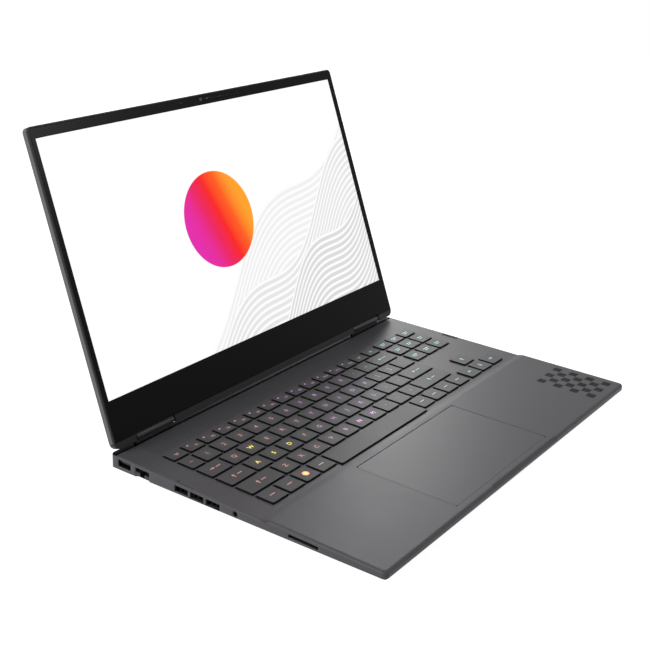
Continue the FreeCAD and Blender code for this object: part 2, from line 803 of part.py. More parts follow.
def hollow_cover(body):
    """The room inside the cover: flat walls from the parting plane down to the floor."""
    front_rim, rear_rim = "front + cover_rim", "rear - cover_rim"
    run = "cos(cover_tilt)"
    rim = outline(body, "rim", "XY_Plane", [
        ("cover_rim - side", f"cover_rim / {run}"), ("side - cover_rim", f"cover_rim / {run}"),
        ("side - cover_rim", f"(base_depth - cover_rim) / {run}"),
        ("cover_rim - side", f"(base_depth - cover_rim) / {run}"),
    ])
    rim.AttachmentOffset = FreeCAD.Placement(FreeCAD.Vector(), FreeCAD.Rotation(X_AXIS, -QUARTER_TURN))
    rim.setExpression("AttachmentOffset.Base.y", ex("front"))
    rim.setExpression("AttachmentOffset.Base.z", ex("wall_low_front"))
    rim.setExpression("AttachmentOffset.Rotation.Angle", ex("-1 * cover_tilt"))
    floor_front = f"({front_rim} + ({cover_level(front_rim)} - floor_top) * undercut)"
    floor_rear = f"({rear_rim} - ({cover_level(rear_rim)} - floor_top) * rear_undercut)"
    half_front = f"(side - cover_rim - ({cover_level(floor_front)} - floor_top) * undercut)"
    half_rear = f"(side - cover_rim - ({cover_level(floor_rear)} - floor_top) * undercut)"
    floor = outline(body, "floor", "XY_Plane", [
        (f"-{half_front}", floor_front), (half_front, floor_front),
        (half_rear, floor_rear), (f"-{half_rear}", floor_rear),
    ])
    floor.setExpression("AttachmentOffset.Base.z", ex("floor_top"))
    loft(body, "room", [rim, floor])


def cut_bottom(body):
    """Fan inlets, speaker slots, screw seats and the notch that the network socket's jaw drops into."""
    floor = ("foot_height - seat_gap", "floor_top + seat_gap")
    first_slot = "fan_x - slot_pitch * (slot_count - 1) / 2 - slot_width / 2"
    for name, side in SIDES.items():
        slot_x = mirrored((first_slot, f"{first_slot} + slot_width"), side)
        slot = box(body, f"inlet_{name}", slot_x, around("fan_y", "2 * fan_inlet_r"), floor, True)
        pattern(body, f"inlets_{name}", [slot], "X_Axis", "slot_pitch", "slot_count", side == LEFT)
        sound_x = mirrored(("speaker_x + slot_width", "speaker_x + 2 * slot_width"), side)
        sound_y = around("speaker_y + speaker_depth / 2", "speaker_slot_length")
        sound = box(body, f"sound_{name}", sound_x, sound_y, floor, True)
        back = side == LEFT
        pattern(body, f"sounds_{name}", [sound], "X_Axis", "speaker_slot_pitch", "speaker_slot_count", back)
        for place in SCREWS:
            at = (f"{side} * screw_{place}_x", f"screw_{place}_y")
            seat = ("foot_height - seat_gap", "foot_height + screw_head_height")
            rod(body, f"{place}_seat_{name}", "screw_head_r + screw_fit", seat, at, "z", True, "few_sides")
            rod(body, f"{place}_hole_{name}", "screw_shank_r + screw_fit", floor, at, "z", True, "few_sides")
    notch_x = ("-side - seat_gap", "jaw_x")
    box(body, "jaw_notch", notch_x, around("net_y", "net_width"), ("floor_top", "net_top"), True)


def build_feet_and_screws():
    feet = new_body("rubber_feet")
    for name in ("rear", "front"):
        length = f"{name}_foot_length / 2"
        y = around(f"{name}_foot_y", "foot_width")
        strip = box(feet, name, (f"-{length}", length), y, ("0", "foot_height"))
        doc.recompute()
        place = value_of(f"{name}_foot_y")
        ends = edges(strip, Z_AXIS, lambda point: abs(point.y - place) < value_of("foot_width"))
        fillet(feet, f"{name}_ends", strip, ends, "foot_width / 2 - seat_gap")
    screws = new_body("bottom_screws")
    for name, side in SIDES.items():
        for place in SCREWS:
            at = (f"{side} * screw_{place}_x", f"screw_{place}_y")
            head = ("foot_height", "foot_height + screw_head_height")
            shank = (head[1], f"{head[1]} + screw_length")
            rod(screws, f"{place}_head_{name}", "screw_head_r", head, at, sides="few_sides")
            rod(screws, f"{place}_shank_{name}", "screw_shank_r", shank, at, sides="few_sides")


def build_keyboard_tray():
    body = new_body("keyboard_tray")
    right = "navigation_left + navigation_count * key_pitch"
    rear = f"key_front + key_side + {FUNCTION_ROW} * key_row_pitch + function_depth"
    x = ("key_left - tray_margin", f"{right} + tray_margin")
    y = ("ramp_rear - tray_margin / 2", f"{rear} + tray_margin")
    box(body, "plate", x, y, ("tray_top - tray_floor", "deck_under"))
    inner_x = ("key_left", right)
    inner_y = ("ramp_rear", f"{rear} + tray_margin / 2")
    box(body, "well", inner_x, inner_y, ("tray_top", "deck_height"), True)


def build_touchpad():
    pad = new_body("touchpad")
    x = ("pad_left + pad_gap", "pad_right - pad_gap")
    y = ("pad_front + pad_gap", "pad_rear - pad_gap")
    plate = box(pad, "plate", x, y, ("pad_low", "pad_top"))
    fillet(pad, "corners", plate, BOX_UPRIGHTS, "pad_corner")
    bracket = new_body("touchpad_bracket")
    outer_x = ("pad_left - pad_rim", "pad_right + pad_rim")
    outer_y = ("pad_front - pad_rim", "pad_rear + pad_rim")
    floor = "pad_low - pad_drop - pad_floor"
    box(bracket, "frame", outer_x, outer_y, (floor, "palm_under"))
    well_y = ("pad_front", "pad_rear")
    box(bracket, "well", ("pad_left", "pad_right"), well_y, ("pad_low - pad_drop", "palm"), True)
    box(bracket, "rib", x, ("pad_rear - pad_gap - pad_rib", "pad_rear - pad_gap"),
        ("pad_low - pad_drop", "pad_low - seat_gap"))
    rod(bracket, "switch", "pad_rib", ("pad_low - pad_drop", "pad_low - pad_drop + seat_gap"),
        ("(pad_left + pad_right) / 2", "pad_front + pad_switch_inset"), sides="few_sides")


def shell_socket(body, name, x, y, z, wall, depth, open_end):
    """A socket's shell: a block with a blind cavity that is open at one end of one axis."""
    block = box(body, f"{name}_shell", x, y, z)
    spans = {"x": x, "y": y, "z": z}
    hollow = {}
    for axis, (low, high) in spans.items():
        hollow[axis] = (f"({low}) + {wall}", f"({high}) - {wall}")
    axis, end = open_end
    low, high = spans[axis]
    if end == LEFT:
        hollow[axis] = (f"({low}) - seat_gap", f"({low}) + {depth}")
    else:
        hollow[axis] = (f"({high}) - ({depth})", f"({high}) + seat_gap")
    return block, box(body, f"{name}_cavity", hollow["x"], hollow["y"], hollow["z"], True)


def build_usb(label, side, count):
    body = new_body(label)
    half_y = "(usb_width / 2 + usb_shell)"
    half_z = "(usb_height / 2 + usb_shell)"
    x = mirrored(("side - seat_gap - usb_depth", "side - seat_gap"), side)
    y = (f"usb_y - {half_y}", f"usb_y + {half_y}")
    z = (f"usb_z - {half_z}", f"usb_z + {half_z}")
    features = list(shell_socket(body, "usb", x, y, z, "usb_shell", "usb_depth - usb_back_wall", ("x", side)))
    tongue_x = mirrored(("side - seat_gap - usb_depth + usb_back_wall / 2", "side - case_wall"), side)
    tongue_y = around("usb_y", "usb_tongue_width")
    tongue_z = ("usb_z + usb_shell", "usb_z + usb_shell + usb_tongue")
    features.append(box(body, "tongue", tongue_x, tongue_y, tongue_z))
    if count != 1:
        pattern(body, "pair", features, "Y_Axis", "usb_spacing", count, back=True)


def build_network_socket():
    body = new_body("network_socket")
    x = ("seat_gap + case_wall - side", "seat_gap + case_wall + net_depth - side")
    y = ("net_y - net_outer", "net_y + net_outer")
    z = ("jaw_top - jaw_thickness", "net_top + net_roof")
    box(body, "housing", x, y, z)
    box(body, "cavity", (f"{x[0]} - seat_gap", f"{x[1]} - net_wall"), around("net_y", "net_width"),
        (f"{z[0]} - seat_gap", "net_top"), True)
    bore = "jaw_pin_r + pin_clearance"
    rod(body, "pivot", bore, (f"{y[0]} - seat_gap", f"{y[1]} + seat_gap"), ("jaw_x", "jaw_z"), "y", True)
    jaw = new_body("network_jaw")
    tip = "seat_gap - side"
    jaw_y = ("net_y - jaw_half", "net_y + jaw_half")
    jaw_z = ("jaw_top - jaw_thickness", "jaw_top")
    box(jaw, "flap", (tip, f"{tip} + jaw_length"), jaw_y, jaw_z)
    slot_y = around("net_y", "jaw_slot")
    slot_z = (f"{jaw_z[0]} + jaw_clearance", f"{jaw_z[1]} + seat_gap")
    box(jaw, "latch_slot", (f"{tip} - seat_gap", f"{tip} + jaw_slot_depth"), slot_y, slot_z, True)
    rod(jaw, "trunnions", "jaw_pin_r", ("net_y - net_outer", "net_y + net_outer"), ("jaw_x", "jaw_z"), "y")


def build_jack_and_card_reader():
    jack = new_body("audio_jack")
    back = "case_wall + jack_depth - side"
    box(jack, "body", ("case_wall + seat_gap - side", f"{back} + port_shell"),
        around("jack_y", "jack_body"), ("jack_z - jack_body / 2", "deck_under"))
    axis = ("jack_y", "jack_z")
    rod(jack, "ring", "jack_ring_r", ("seat_gap - side", "case_wall + seat_gap * 2 - side"), axis, "x")
    rod(jack, "bore", "jack_bore_r", ("-side", back), axis, "x", True)
    reader = new_body("card_reader")
    half_y = "(card_width / 2 + card_shell)"
    half_z = "(card_height / 2 + card_shell)"
    x = ("case_wall + seat_gap - side", "case_wall + seat_gap + card_depth - side")
    y = (f"card_y - {half_y}", f"card_y + {half_y}")
    z = (f"card_z - {half_z}", f"card_z + {half_z}")
    shell_socket(reader, "card", x, y, z, "card_shell", "card_depth - card_shell", ("x", LEFT))


def build_rear_ports():
    y = ("rear - seat_gap - rear_port_depth", "rear - seat_gap")
    for name, label in (("video", "video_socket"), ("type_c", "usb_c_socket")):
        body = new_body(label)
        half_x = f"({name}_width / 2 + port_shell)"
        half_z = f"({name}_height / 2 + port_shell)"
        x = (f"{name}_x - {half_x}", f"{name}_x + {half_x}")
        z = (f"rear_port_z - {half_z}", f"rear_port_z + {half_z}")
        shell_socket(body, name, x, y, z, "port_shell", "rear_port_depth - port_inset", ("y", RIGHT))
        tongue_x = around(f"{name}_x", f"{name}_tongue")
        tongue_z = f"port_tongue * {name}_height / video_height / 2"
        box(body, "tongue", tongue_x, (f"{y[0]} + port_shell", f"{y[1]} - port_inset"),
            (f"rear_port_z - {tongue_z}", f"rear_port_z + {tongue_z}"))
        box(body, "stand", x, (y[0], f"{y[0]} + rear_port_depth / 2"), ("board_top", f"{z[0]}"))
    inlet = new_body("power_inlet")
    box(inlet, "body", around("power_x", "2 * power_body"), (y[0], "rear - case_wall - seat_gap"),
        ("board_top", "rear_port_z + power_bore_r - seat_gap"))
    axis = ("power_x", "rear_port_z")
    rod(inlet, "collar", "power_body", ("rear - case_wall - seat_gap", "rear - seat_gap"), axis, "y")
    rod(inlet, "bore", "power_bore_r - port_shell", (f"{y[0]} + port_shell", "rear"), axis, "y", True)
    rod(inlet, "pin", "power_pin_r", (y[0], "rear - case_wall"), axis, "y", sides="few_sides")


def build_hinges():
    for name, side in SIDES.items():
        build_hinge_bracket(name, side)
        build_hinge_pin_and_arm(name, side)
    caps = new_body("hinge_caps")
    for name, side in SIDES.items():
        span = mirrored(("hinge_inner", "hinge_outer"), side)
        axis = ("hinge_y", "hinge_z")
        rod(caps, f"round_{name}", "hinge_cap_r", span, axis, "x")
        neck = ("hinge_y - hinge_neck_front - hinge_neck_wall", "hinge_y + hinge_neck_rear + hinge_neck_wall")
        box(caps, f"neck_{name}", span, neck, ("deck_height", "hinge_z"))
        inner = ("hinge_y - hinge_neck_front", "hinge_y + hinge_neck_rear")
        box(caps, f"throat_{name}", span, inner, ("deck_height", "hinge_z"), True)
        rod(caps, f"bore_{name}", "hinge_cap_r - hinge_cap_wall", span, axis, "x", True)


def build_hinge_bracket(name, side):
    """A plate under the deck whose neck rises through a slot and carries the barrel for the pin."""
    body = new_body(f"hinge_bracket_{name}")
    plate_y = ("rear - case_wall - bracket_depth", "rear - case_wall - seat_gap")
    box(body, "plate", mirrored(("hinge_inner", "hinge_outer"), side), plate_y,
        ("deck_under - bracket_thickness", "deck_under"))
    barrel_x = mirrored(("hinge_inner + barrel_inset", "hinge_outer - barrel_inset"), side)
    neck_y = ("hinge_y - hinge_neck_front + seat_gap", "hinge_y + hinge_neck_rear - seat_gap")
    box(body, "neck", barrel_x, neck_y, ("deck_under - seat_gap", "hinge_z"))
    rod(body, "barrel", "barrel_r", barrel_x, ("hinge_y", "hinge_z"), "x")
    rod(body, "bore", "pin_r + pin_clearance", barrel_x, ("hinge_y", "hinge_z"), "x", True)


def build_hinge_pin_and_arm(name, side):
    """The pin that turns in the barrel, and the leaf that holds it at both ends of the notch in the lid."""
    pin = lid_body(f"hinge_pin_{name}")
    pin_x = mirrored(("notch_inner - pin_overhang", "notch_outer + pin_overhang"), side)
    rod(pin, "pin", "pin_r", pin_x, ("0", "0"), "x")
    arm = lid_body(f"hinge_arm_{name}")
    leaf_y = ("notch_top", "arm_height")
    ends = {
        "inner": mirrored(("notch_inner - eye_length - seat_gap", "notch_inner - seat_gap"), side),
        "outer": mirrored(("notch_outer + seat_gap", "notch_outer + seat_gap + eye_length"), side),
    }
    leaf_x = mirrored(("notch_inner - eye_length - seat_gap", "notch_outer + seat_gap + eye_length"), side)
    box(arm, "leaf", leaf_x, leaf_y, ("lid_floor", "lid_floor + arm_thickness"))
    for place, span in ends.items():
        rod(arm, f"{place}_eye", "eye_r", span, ("0", "0"), "x", sides="many_sides")
        box(arm, f"{place}_link", span, ("0", leaf_y[0]), ("lid_floor", "lid_floor + arm_thickness"))
    for place, span in ends.items():
        rod(arm, f"{place}_bore", "pin_r", span, ("0", "0"), "x", True)


def build_lid():
    cover = lid_body("lid_back_cover")
    tail = "-1 * lid_tail"
    plate = box(cover, "plate", ("-lid_side", "lid_side"), (tail, "lid_reach"), ("-half_lid", "half_lid"))
    middle = value_of("lid_reach / 2")
    upper = fillet(cover, "top_corners", plate, edges(plate, Z_AXIS, lambda p: p.y > middle), "lid_corner")
    fillet(cover, "tail_corners", upper, edges(upper, Z_AXIS, lambda p: p.y < middle), "lid_tail_corner")
    rim_x = ("lid_rim - lid_side", "lid_side - lid_rim")
    well_y = ("strip_top", "lid_reach - lid_rim")
    well = box(cover, "well", rim_x, well_y, ("lid_floor", "half_lid + seat_gap"), True)
    inner = value_of("lid_side - lid_rim")
    top = value_of("lid_reach - lid_rim")
    well_corners = edges(well, Z_AXIS, lambda p: abs(abs(p.x) - inner) < SLACK and abs(p.y - top) < SLACK)
    fillet(cover, "well_corners", well, well_corners, "lid_corner - lid_rim")
    for name, side in SIDES.items():
        notch = mirrored(("notch_inner", "notch_outer"), side)
        box(cover, f"notch_{name}", notch, (f"{tail} - seat_gap", "notch_top"),
            ("-half_lid - seat_gap", "half_lid + seat_gap"), True)
        nest = "(eye_r + seat_gap)"
        room = "(pin_overhang + seat_gap)"
        pocket = mirrored((f"notch_inner - {room}", f"notch_outer + {room}"), side)
        box(cover, f"nest_{name}", pocket, (f"-{nest}", "strip_top + seat_gap"), (f"-{nest}", nest), True)
    build_screen(rim_x)


def build_screen(rim_x):
    bezel = lid_body("screen_bezel")
    low, high = rim_x
    frame_z = ("bezel_back", "bezel_back + bezel_thickness")
    frame = box(bezel, "frame", (f"{low} + bezel_fit", f"{high} - bezel_fit"),
                ("strip_top + bezel_fit", "lid_reach - lid_rim - bezel_fit"), frame_z)
    middle = value_of("lid_reach / 2")
    upper = edges(frame, Z_AXIS, lambda p: p.y > middle)
    fillet(bezel, "corners", frame, upper, "lid_corner - lid_rim - bezel_fit")
    for name, side in SIDES.items():
        box(bezel, f"notch_{name}", mirrored(("notch_inner", "notch_outer"), side), ("0", "notch_top"),
            ("bezel_back - seat_gap", "half_lid"), True)
    opening_x = around("0", "screen_width")
    box(bezel, "opening", opening_x, ("screen_low", "screen_top"),
        ("bezel_back - seat_gap", "half_lid + seat_gap"), True)
    camera_y = "(screen_top + lid_reach - lid_rim) / 2 + panel_border / 2"
    camera_at = ("0", camera_y)
    camera_z = ("bezel_back - seat_gap", "half_lid")
    rod(bezel, "camera_hole", "camera_r + camera_fit", camera_z, camera_at, cut=True)
    panel = lid_body("display_panel")
    box(panel, "glass", ("-screen_width / 2 - panel_border", "screen_width / 2 + panel_border"),
        ("screen_low - panel_border", "screen_top + panel_border"),
        ("bezel_back - panel_thickness", "bezel_back"))
    camera = lid_body("webcam_module")
    box(camera, "board", around("0", "camera_width"),
        around(camera_y, "camera_height"),
        ("bezel_back - camera_depth", "bezel_back"))
    rod(camera, "lens", "camera_r", ("bezel_back", "bezel_back + bezel_thickness - seat_gap"), camera_at)
    board = lid_body("panel_board")
    box(board, "strip", around("0", "board_width"),
        ("screen_low - panel_border - board_height - port_shell", "screen_low - panel_border - port_shell"),
        ("lid_floor", "lid_floor + board_thickness"))


def build_fan(name, side):
    housing = new_body(f"fan_housing_{name}")
    centre = (f"{side} * fan_x", "fan_y")
    case_x = mirrored(("fan_inner", "fan_outer"), side)
    box(housing, "case", case_x, ("fan_front", "fan_rear"), ("fan_low", "fan_top"))
    room = ("fan_room_low", "fan_room_top")
    rod(housing, "room", "fan_cavity_r", room, centre, cut=True, sides="many_sides")
    outlet_x = around(f"{side} * fan_x", "fan_outlet_width")
    box(housing, "outlet", outlet_x, ("fan_y", "fan_rear + seat_gap"), room, True)
    box(housing, "side_outlet", mirrored(("fan_x", "fan_outer + seat_gap"), side),
        ("fan_front + fan_plate", "fan_front + fan_side_outlet"), room, True)
    mouth = ("fan_low - seat_gap", "fan_room_low + seat_gap")
    rod(housing, "inlet", "fan_inlet_r", mouth, centre, cut=True, sides="many_sides")
    rod(housing, "shaft", "fan_shaft_r", ("rotor_low + fan_plate + seat_gap", "fan_top"), centre)
    rotor = new_body(f"fan_rotor_{name}")
    rotor.setExpression("Placement.Base.x", ex(centre[0]))
    rotor.setExpression("Placement.Base.y", ex(centre[1]))
    rod(rotor, "hub", "fan_hub_r", ("rotor_low", "rotor_top"), ("0", "0"), sides="fan_blade_count")
    blade = box(rotor, "blade", ("fan_hub_r - fan_blade", "fan_tip_r"), around("0", "fan_blade"),
                ("rotor_low + fan_blade", "rotor_top - seat_gap"))
    ring = add(rotor, "PolarPattern", "blades")
    ring.Originals = [blade]
    ring.Axis = (origin_part(rotor, "Z_Axis"), [""])
    ring.setExpression("Occurrences", ex("fan_blade_count"))
    rotor.Tip = ring
    bore = "fan_shaft_r + fan_shaft_clearance"
    rod(rotor, "bore", bore, ("rotor_low + fan_plate", "rotor_top + seat_gap"), ("0", "0"), cut=True)


def build_fins(name, side):
    rear = new_body(f"rear_fin_stack_{name}")
    x = (f"{side} * fan_x - fin_half", f"{side} * fan_x + fin_half")
    y = ("fin_y", "fin_y + fin_depth")
    box(rear, "base", x, y, ("fan_low", "fan_low + fin_plate"))
    box(rear, "top", x, y, ("fan_top - fin_plate", "fan_top"))
    fin = box(rear, "fin", (x[0], f"{x[0]} + fin_thickness"), y, ("fan_low", "fan_top"))
    pattern(rear, "fins", [fin], "X_Axis", "fin_pitch", "fin_count")
    flank = new_body(f"side_fin_stack_{name}")
    outer = "side - case_wall - seat_gap"
    span = mirrored((f"{outer} - side_fin_depth", outer), side)
    start = "vent_y + vent_half - side_fin_length"
    low = "deck_under - side_fin_height"
    box(flank, "top", span, (start, f"{start} + side_fin_length"), ("deck_under - fin_plate", "deck_under"))
    plate = box(flank, "fin", span, (start, f"{start} + fin_thickness"), (low, "deck_under"))
    step = "(side_fin_length - fin_thickness) / (side_fin_count - 1)"
    pattern(flank, "fins", [plate], "Y_Axis", step, "side_fin_count")


def build_heat_pipe():
    """A flat copper pipe from one fin stack over both chips to the other, with rounded bends."""
    spreader = new_body("heat_spreader")
    box(spreader, "plate", around("0", "spreader_width"),
        around("pipe_middle", "spreader_depth"), ("chip_top", "fan_top"))
    body = new_body("heat_pipe")
    half = "pipe_width / 2"
    mitre = "pipe_width / 2 * tan(pipe_turn / 2)"
    right = [
        (f"pipe_inner + {mitre}", f"pipe_middle - {half}"), (f"pipe_knee + {mitre}", f"pipe_y - {half}"),
        ("pipe_reach", f"pipe_y - {half}"), ("pipe_reach", f"pipe_y + {half}"),
        (f"pipe_knee - {mitre}", f"pipe_y + {half}"), (f"pipe_inner - {mitre}", f"pipe_middle + {half}"),
    ]
    left = [(f"-({x})", y) for x, y in reversed(right)]
    plan = outline(body, "plan", "XY_Plane", right + left)
    pipe = extrude(body, "pipe", plan, "fan_top", "fan_top + pipe_thickness")
    reach = value_of("pipe_reach")
    low = value_of("pipe_middle")
    high = value_of("pipe_y")
    inside = edges(pipe, Z_AXIS, lambda point: abs(point.x) < reach - SLACK and low < point.y < high)
    bend = fillet(body, "inner_bends", pipe, inside, "pipe_bend")
    outside = edges(bend, Z_AXIS, lambda point: abs(point.x) < reach - SLACK and not low < point.y < high)
    fillet(body, "outer_bends", bend, outside, "pipe_bend + pipe_width")


def build_electronics():
    board = new_body("mainboard")
    span = ("mainboard_height", "board_top")
    box(board, "plate", around("0", "mainboard_width"), ("mainboard_front", "mainboard_rear"), span)
    posts = {"front": "mainboard_front + mainboard_post_y", "rear": "mainboard_rear - mainboard_post_y"}
    for name, side in SIDES.items():
        chip_x = f"{side} * chip_x"
        box(board, f"chip_{name}", around(chip_x, "chip_size"), around("pipe_middle", "chip_size"),
            ("board_top", "chip_top"))
        for place, y in posts.items():
            post_x = around(f"{side} * mainboard_post_x", "mainboard_post")
            post_y = around(y, "mainboard_post")
            box(board, f"post_{place}_{name}", post_x, post_y, ("floor_top", "mainboard_height"))
    battery = new_body("battery_pack")
    low = "-battery_width / 2"
    y = ("battery_front", "battery_front + battery_depth")
    box(battery, "tray", (low, "battery_width / 2"), y, ("floor_top", "battery_low"))
    cell = box(battery, "cell", (f"{low} + cell_gap / 2", f"{low} + cell_pitch - cell_gap / 2"), y,
               ("battery_low", "floor_top + battery_height"))
    pattern(battery, "cells", [cell], "X_Axis", "cell_pitch", "cell_count")
    build_cards()
    for name, side in SIDES.items():
        speaker = new_body(f"speaker_{name}")
        y = ("speaker_y", "speaker_y + speaker_depth")
        box(speaker, "box", mirrored(("speaker_x", "speaker_x + speaker_width"), side), y,
            ("floor_top", "floor_top + speaker_height"))
        lid = "floor_top + speaker_height"
        centre = (f"{side} * (speaker_x + speaker_width / 2)", "speaker_y + speaker_depth / 2")
        rod(speaker, "cone", "speaker_cone_r", (lid, f"{lid} + speaker_cone"), centre, sides="many_sides")


def build_cards():
    """Plug-in cards on the mainboard: storage, memory and wireless, each held by the socket at its end."""
    lift = "board_top + card_lift"
    top = f"{lift} + card_board"
    drive = new_body("storage_drive")
    x = ("drive_x", "drive_x + drive_length")
    y = ("drive_y", "drive_y + drive_width")
    box(drive, "board", x, y, (lift, top))
    box(drive, "socket", ("drive_x", "drive_x + card_socket"), y, ("board_top", f"{top} + card_lift"))
    margin = "(drive_width - drive_chip) / 2"
    chip = box(drive, "chip", ("drive_x + 2 * card_socket", "drive_x + 2 * card_socket + drive_chip"),
               (f"drive_y + {margin}", f"drive_y + {margin} + drive_chip"), (top, f"{top} + card_chip"))
    pattern(drive, "chips", [chip], "X_Axis", "drive_chip_pitch", "drive_chip_count")
    memory = new_body("memory_modules")
    x = ("memory_x", "memory_x + memory_length")
    y = ("memory_y", "memory_y + memory_width")
    module = box(memory, "module", x, y, (lift, top))
    pattern(memory, "modules", [module], "Z_Axis", "memory_pitch", "memory_count")
    box(memory, "socket", x, ("memory_y", "memory_y + card_socket"), ("board_top", f"{top} + memory_pitch"))
    card = new_body("wireless_card")
    x = ("wireless_x", "wireless_x + wireless_width")
    y = ("wireless_y", "wireless_y + wireless_length")
    box(card, "board", x, y, (lift, top))
    box(card, "socket", x, ("wireless_y", "wireless_y + card_socket"), ("board_top", f"{top} + card_lift"))
    box(card, "shield", ("wireless_x + card_board", "wireless_x + wireless_width - card_board"),
        ("wireless_y + 2 * card_socket", "wireless_y + wireless_length - card_board"),
        (top, f"{top} + card_chip"))


build_top_case()
build_bottom_cover()
build_feet_and_screws()
build_keys()
build_keyboard_tray()
build_touchpad()
build_usb("usb_socket_left", LEFT, 1)
build_usb("usb_sockets_right", RIGHT, "usb_right_count")
build_network_socket()
build_jack_and_card_reader()
build_rear_ports()
build_hinges()
build_lid()
for fan_name, fan_side in SIDES.items():
    build_fan(fan_name, fan_side)
    build_fins(fan_name, fan_side)
build_heat_pipe()
build_electronics()
doc.recompute()

failed = [item.Label for item in doc.Objects if "Invalid" in item.State or "Error" in item.State]
failed += [item.Label for item in SUBPARTS if item.Shape.isNull() or not item.Shape.isValid()]
if failed:
    raise RuntimeError("Not built: " + ", ".join(failed))

os.makedirs("parts", exist_ok=True)
for item in SUBPARTS:
    item.Shape.exportStep(f"parts/{item.Label}.step")
    print(item.Label, len(item.Shape.Solids), round(item.Shape.Volume, 1))
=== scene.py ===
import collections
import functools
import math

import bmesh
import bpy
from mathutils import Matrix, Vector


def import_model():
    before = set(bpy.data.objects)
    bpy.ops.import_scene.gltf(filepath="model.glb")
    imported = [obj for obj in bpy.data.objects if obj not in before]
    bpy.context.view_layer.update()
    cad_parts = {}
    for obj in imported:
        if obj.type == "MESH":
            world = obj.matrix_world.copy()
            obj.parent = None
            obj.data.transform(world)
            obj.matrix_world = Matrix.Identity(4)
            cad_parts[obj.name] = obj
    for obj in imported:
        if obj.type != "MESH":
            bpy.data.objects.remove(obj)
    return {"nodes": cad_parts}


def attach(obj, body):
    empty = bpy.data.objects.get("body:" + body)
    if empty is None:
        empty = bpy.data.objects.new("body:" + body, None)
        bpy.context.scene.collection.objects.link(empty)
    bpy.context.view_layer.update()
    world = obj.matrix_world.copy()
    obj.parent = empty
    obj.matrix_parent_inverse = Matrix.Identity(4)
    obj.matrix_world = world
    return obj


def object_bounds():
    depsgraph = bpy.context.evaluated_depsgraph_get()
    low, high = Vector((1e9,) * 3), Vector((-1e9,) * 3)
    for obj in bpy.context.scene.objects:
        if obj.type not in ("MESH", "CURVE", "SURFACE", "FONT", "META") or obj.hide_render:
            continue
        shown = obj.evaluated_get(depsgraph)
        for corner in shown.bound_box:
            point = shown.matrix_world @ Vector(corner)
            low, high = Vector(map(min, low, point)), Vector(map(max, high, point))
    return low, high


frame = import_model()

CAD_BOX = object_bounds()
NODES = frame["nodes"]

# Sizes and places are in millimetres. The stage, the lights and the camera are in metres.
MM = 0.001

# The lid's own frame: origin on the hinge axis, up along the lid, out of the screen.
OPEN_ANGLE = 110.34
HINGE = Vector((0.0, 78.13, 21.15)) * MM
LID_TILT = math.radians(180 - OPEN_ANGLE)
LID_UP = Vector((0.0, math.cos(LID_TILT), math.sin(LID_TILT)))
LID_OUT = Vector((0.0, -math.sin(LID_TILT), math.cos(LID_TILT)))
LID_FRAME = Matrix((Vector((1, 0, 0)), LID_UP, LID_OUT)).transposed().to_4x4()
LID_FRAME.translation = HINGE
LID_TOP, LID_THICK, LID_RIM, BEZEL_SUNK = 243.5, 6.2, 1.3, 0.15
SCREEN_LOW, SCREEN_HEIGHT = 33.76, 200.5

# The case: a level palm rest, a short ramp down and a lower deck round the keys.
CASE_SIDE, CASE_FRONT, CASE_CORNER = CAD_BOX[1][0] / MM, CAD_BOX[0][1] / MM, 4.0
RAMP_FRONT, RAMP_REAR = -69.4, -63.5
DECK_TOP, PALM_TOP, KEY_TOP = 15.6, 17.25, 17.0
PALM_RIM, DECK_RIM, REAR_RIM, RIM_STEPS = 2.0, 1.1, 0.2, 6

# The keyboard's layout, rows counted from the front.
KEY_LEFT, KEY_BLOCK, KEY_FRONT = -163.9, 271.2, -59.4
PITCH, ROW_PITCH, FUNCTION_PITCH = 18.82, 18.72, KEY_BLOCK / 15
KEY_GAP, HALF_KEY, HALF_FUNCTION_KEY, FUNCTION_ROW = 1.3, 8.06, 6.0, 5
NAVIGATION = KEY_BLOCK + 2.6
GRAVE, TAB, CAPS, SHIFT, CONTROL = 15.3, 24.7, 29.1, 38.5, 19.6


def key_x(left, place, pitch=PITCH):
    """Middle of the key at a place in a row of keys that starts at left."""
    return KEY_LEFT + left + pitch * (place + 0.5)


def row_y(row):
    """Middle of a row of keys."""
    half = HALF_FUNCTION_KEY if row == FUNCTION_ROW else HALF_KEY
    return KEY_FRONT + KEY_GAP + row * ROW_PITCH + half


def srgb(red, green, blue):
    """Linear colour from the 0-255 values seen on a screen."""
    def linear(value):
        share = value / 255
        return share / 12.92 if share <= 0.04045 else ((share + 0.055) / 1.055) ** 2.4
    return (linear(red), linear(green), linear(blue), 1.0)


# Materials

# Colours of the key lighting from left to right, between -LIGHT_REACH and LIGHT_REACH.
LIGHT_REACH = 165.0
ZONES = [
    (0.0, srgb(166, 122, 114)), (0.26, srgb(188, 142, 126)), (0.42, srgb(172, 124, 184)),
    (0.6, srgb(180, 130, 190)), (0.7, srgb(136, 146, 156)), (0.8, srgb(112, 164, 160)),
    (1.0, srgb(118, 172, 168)),
]


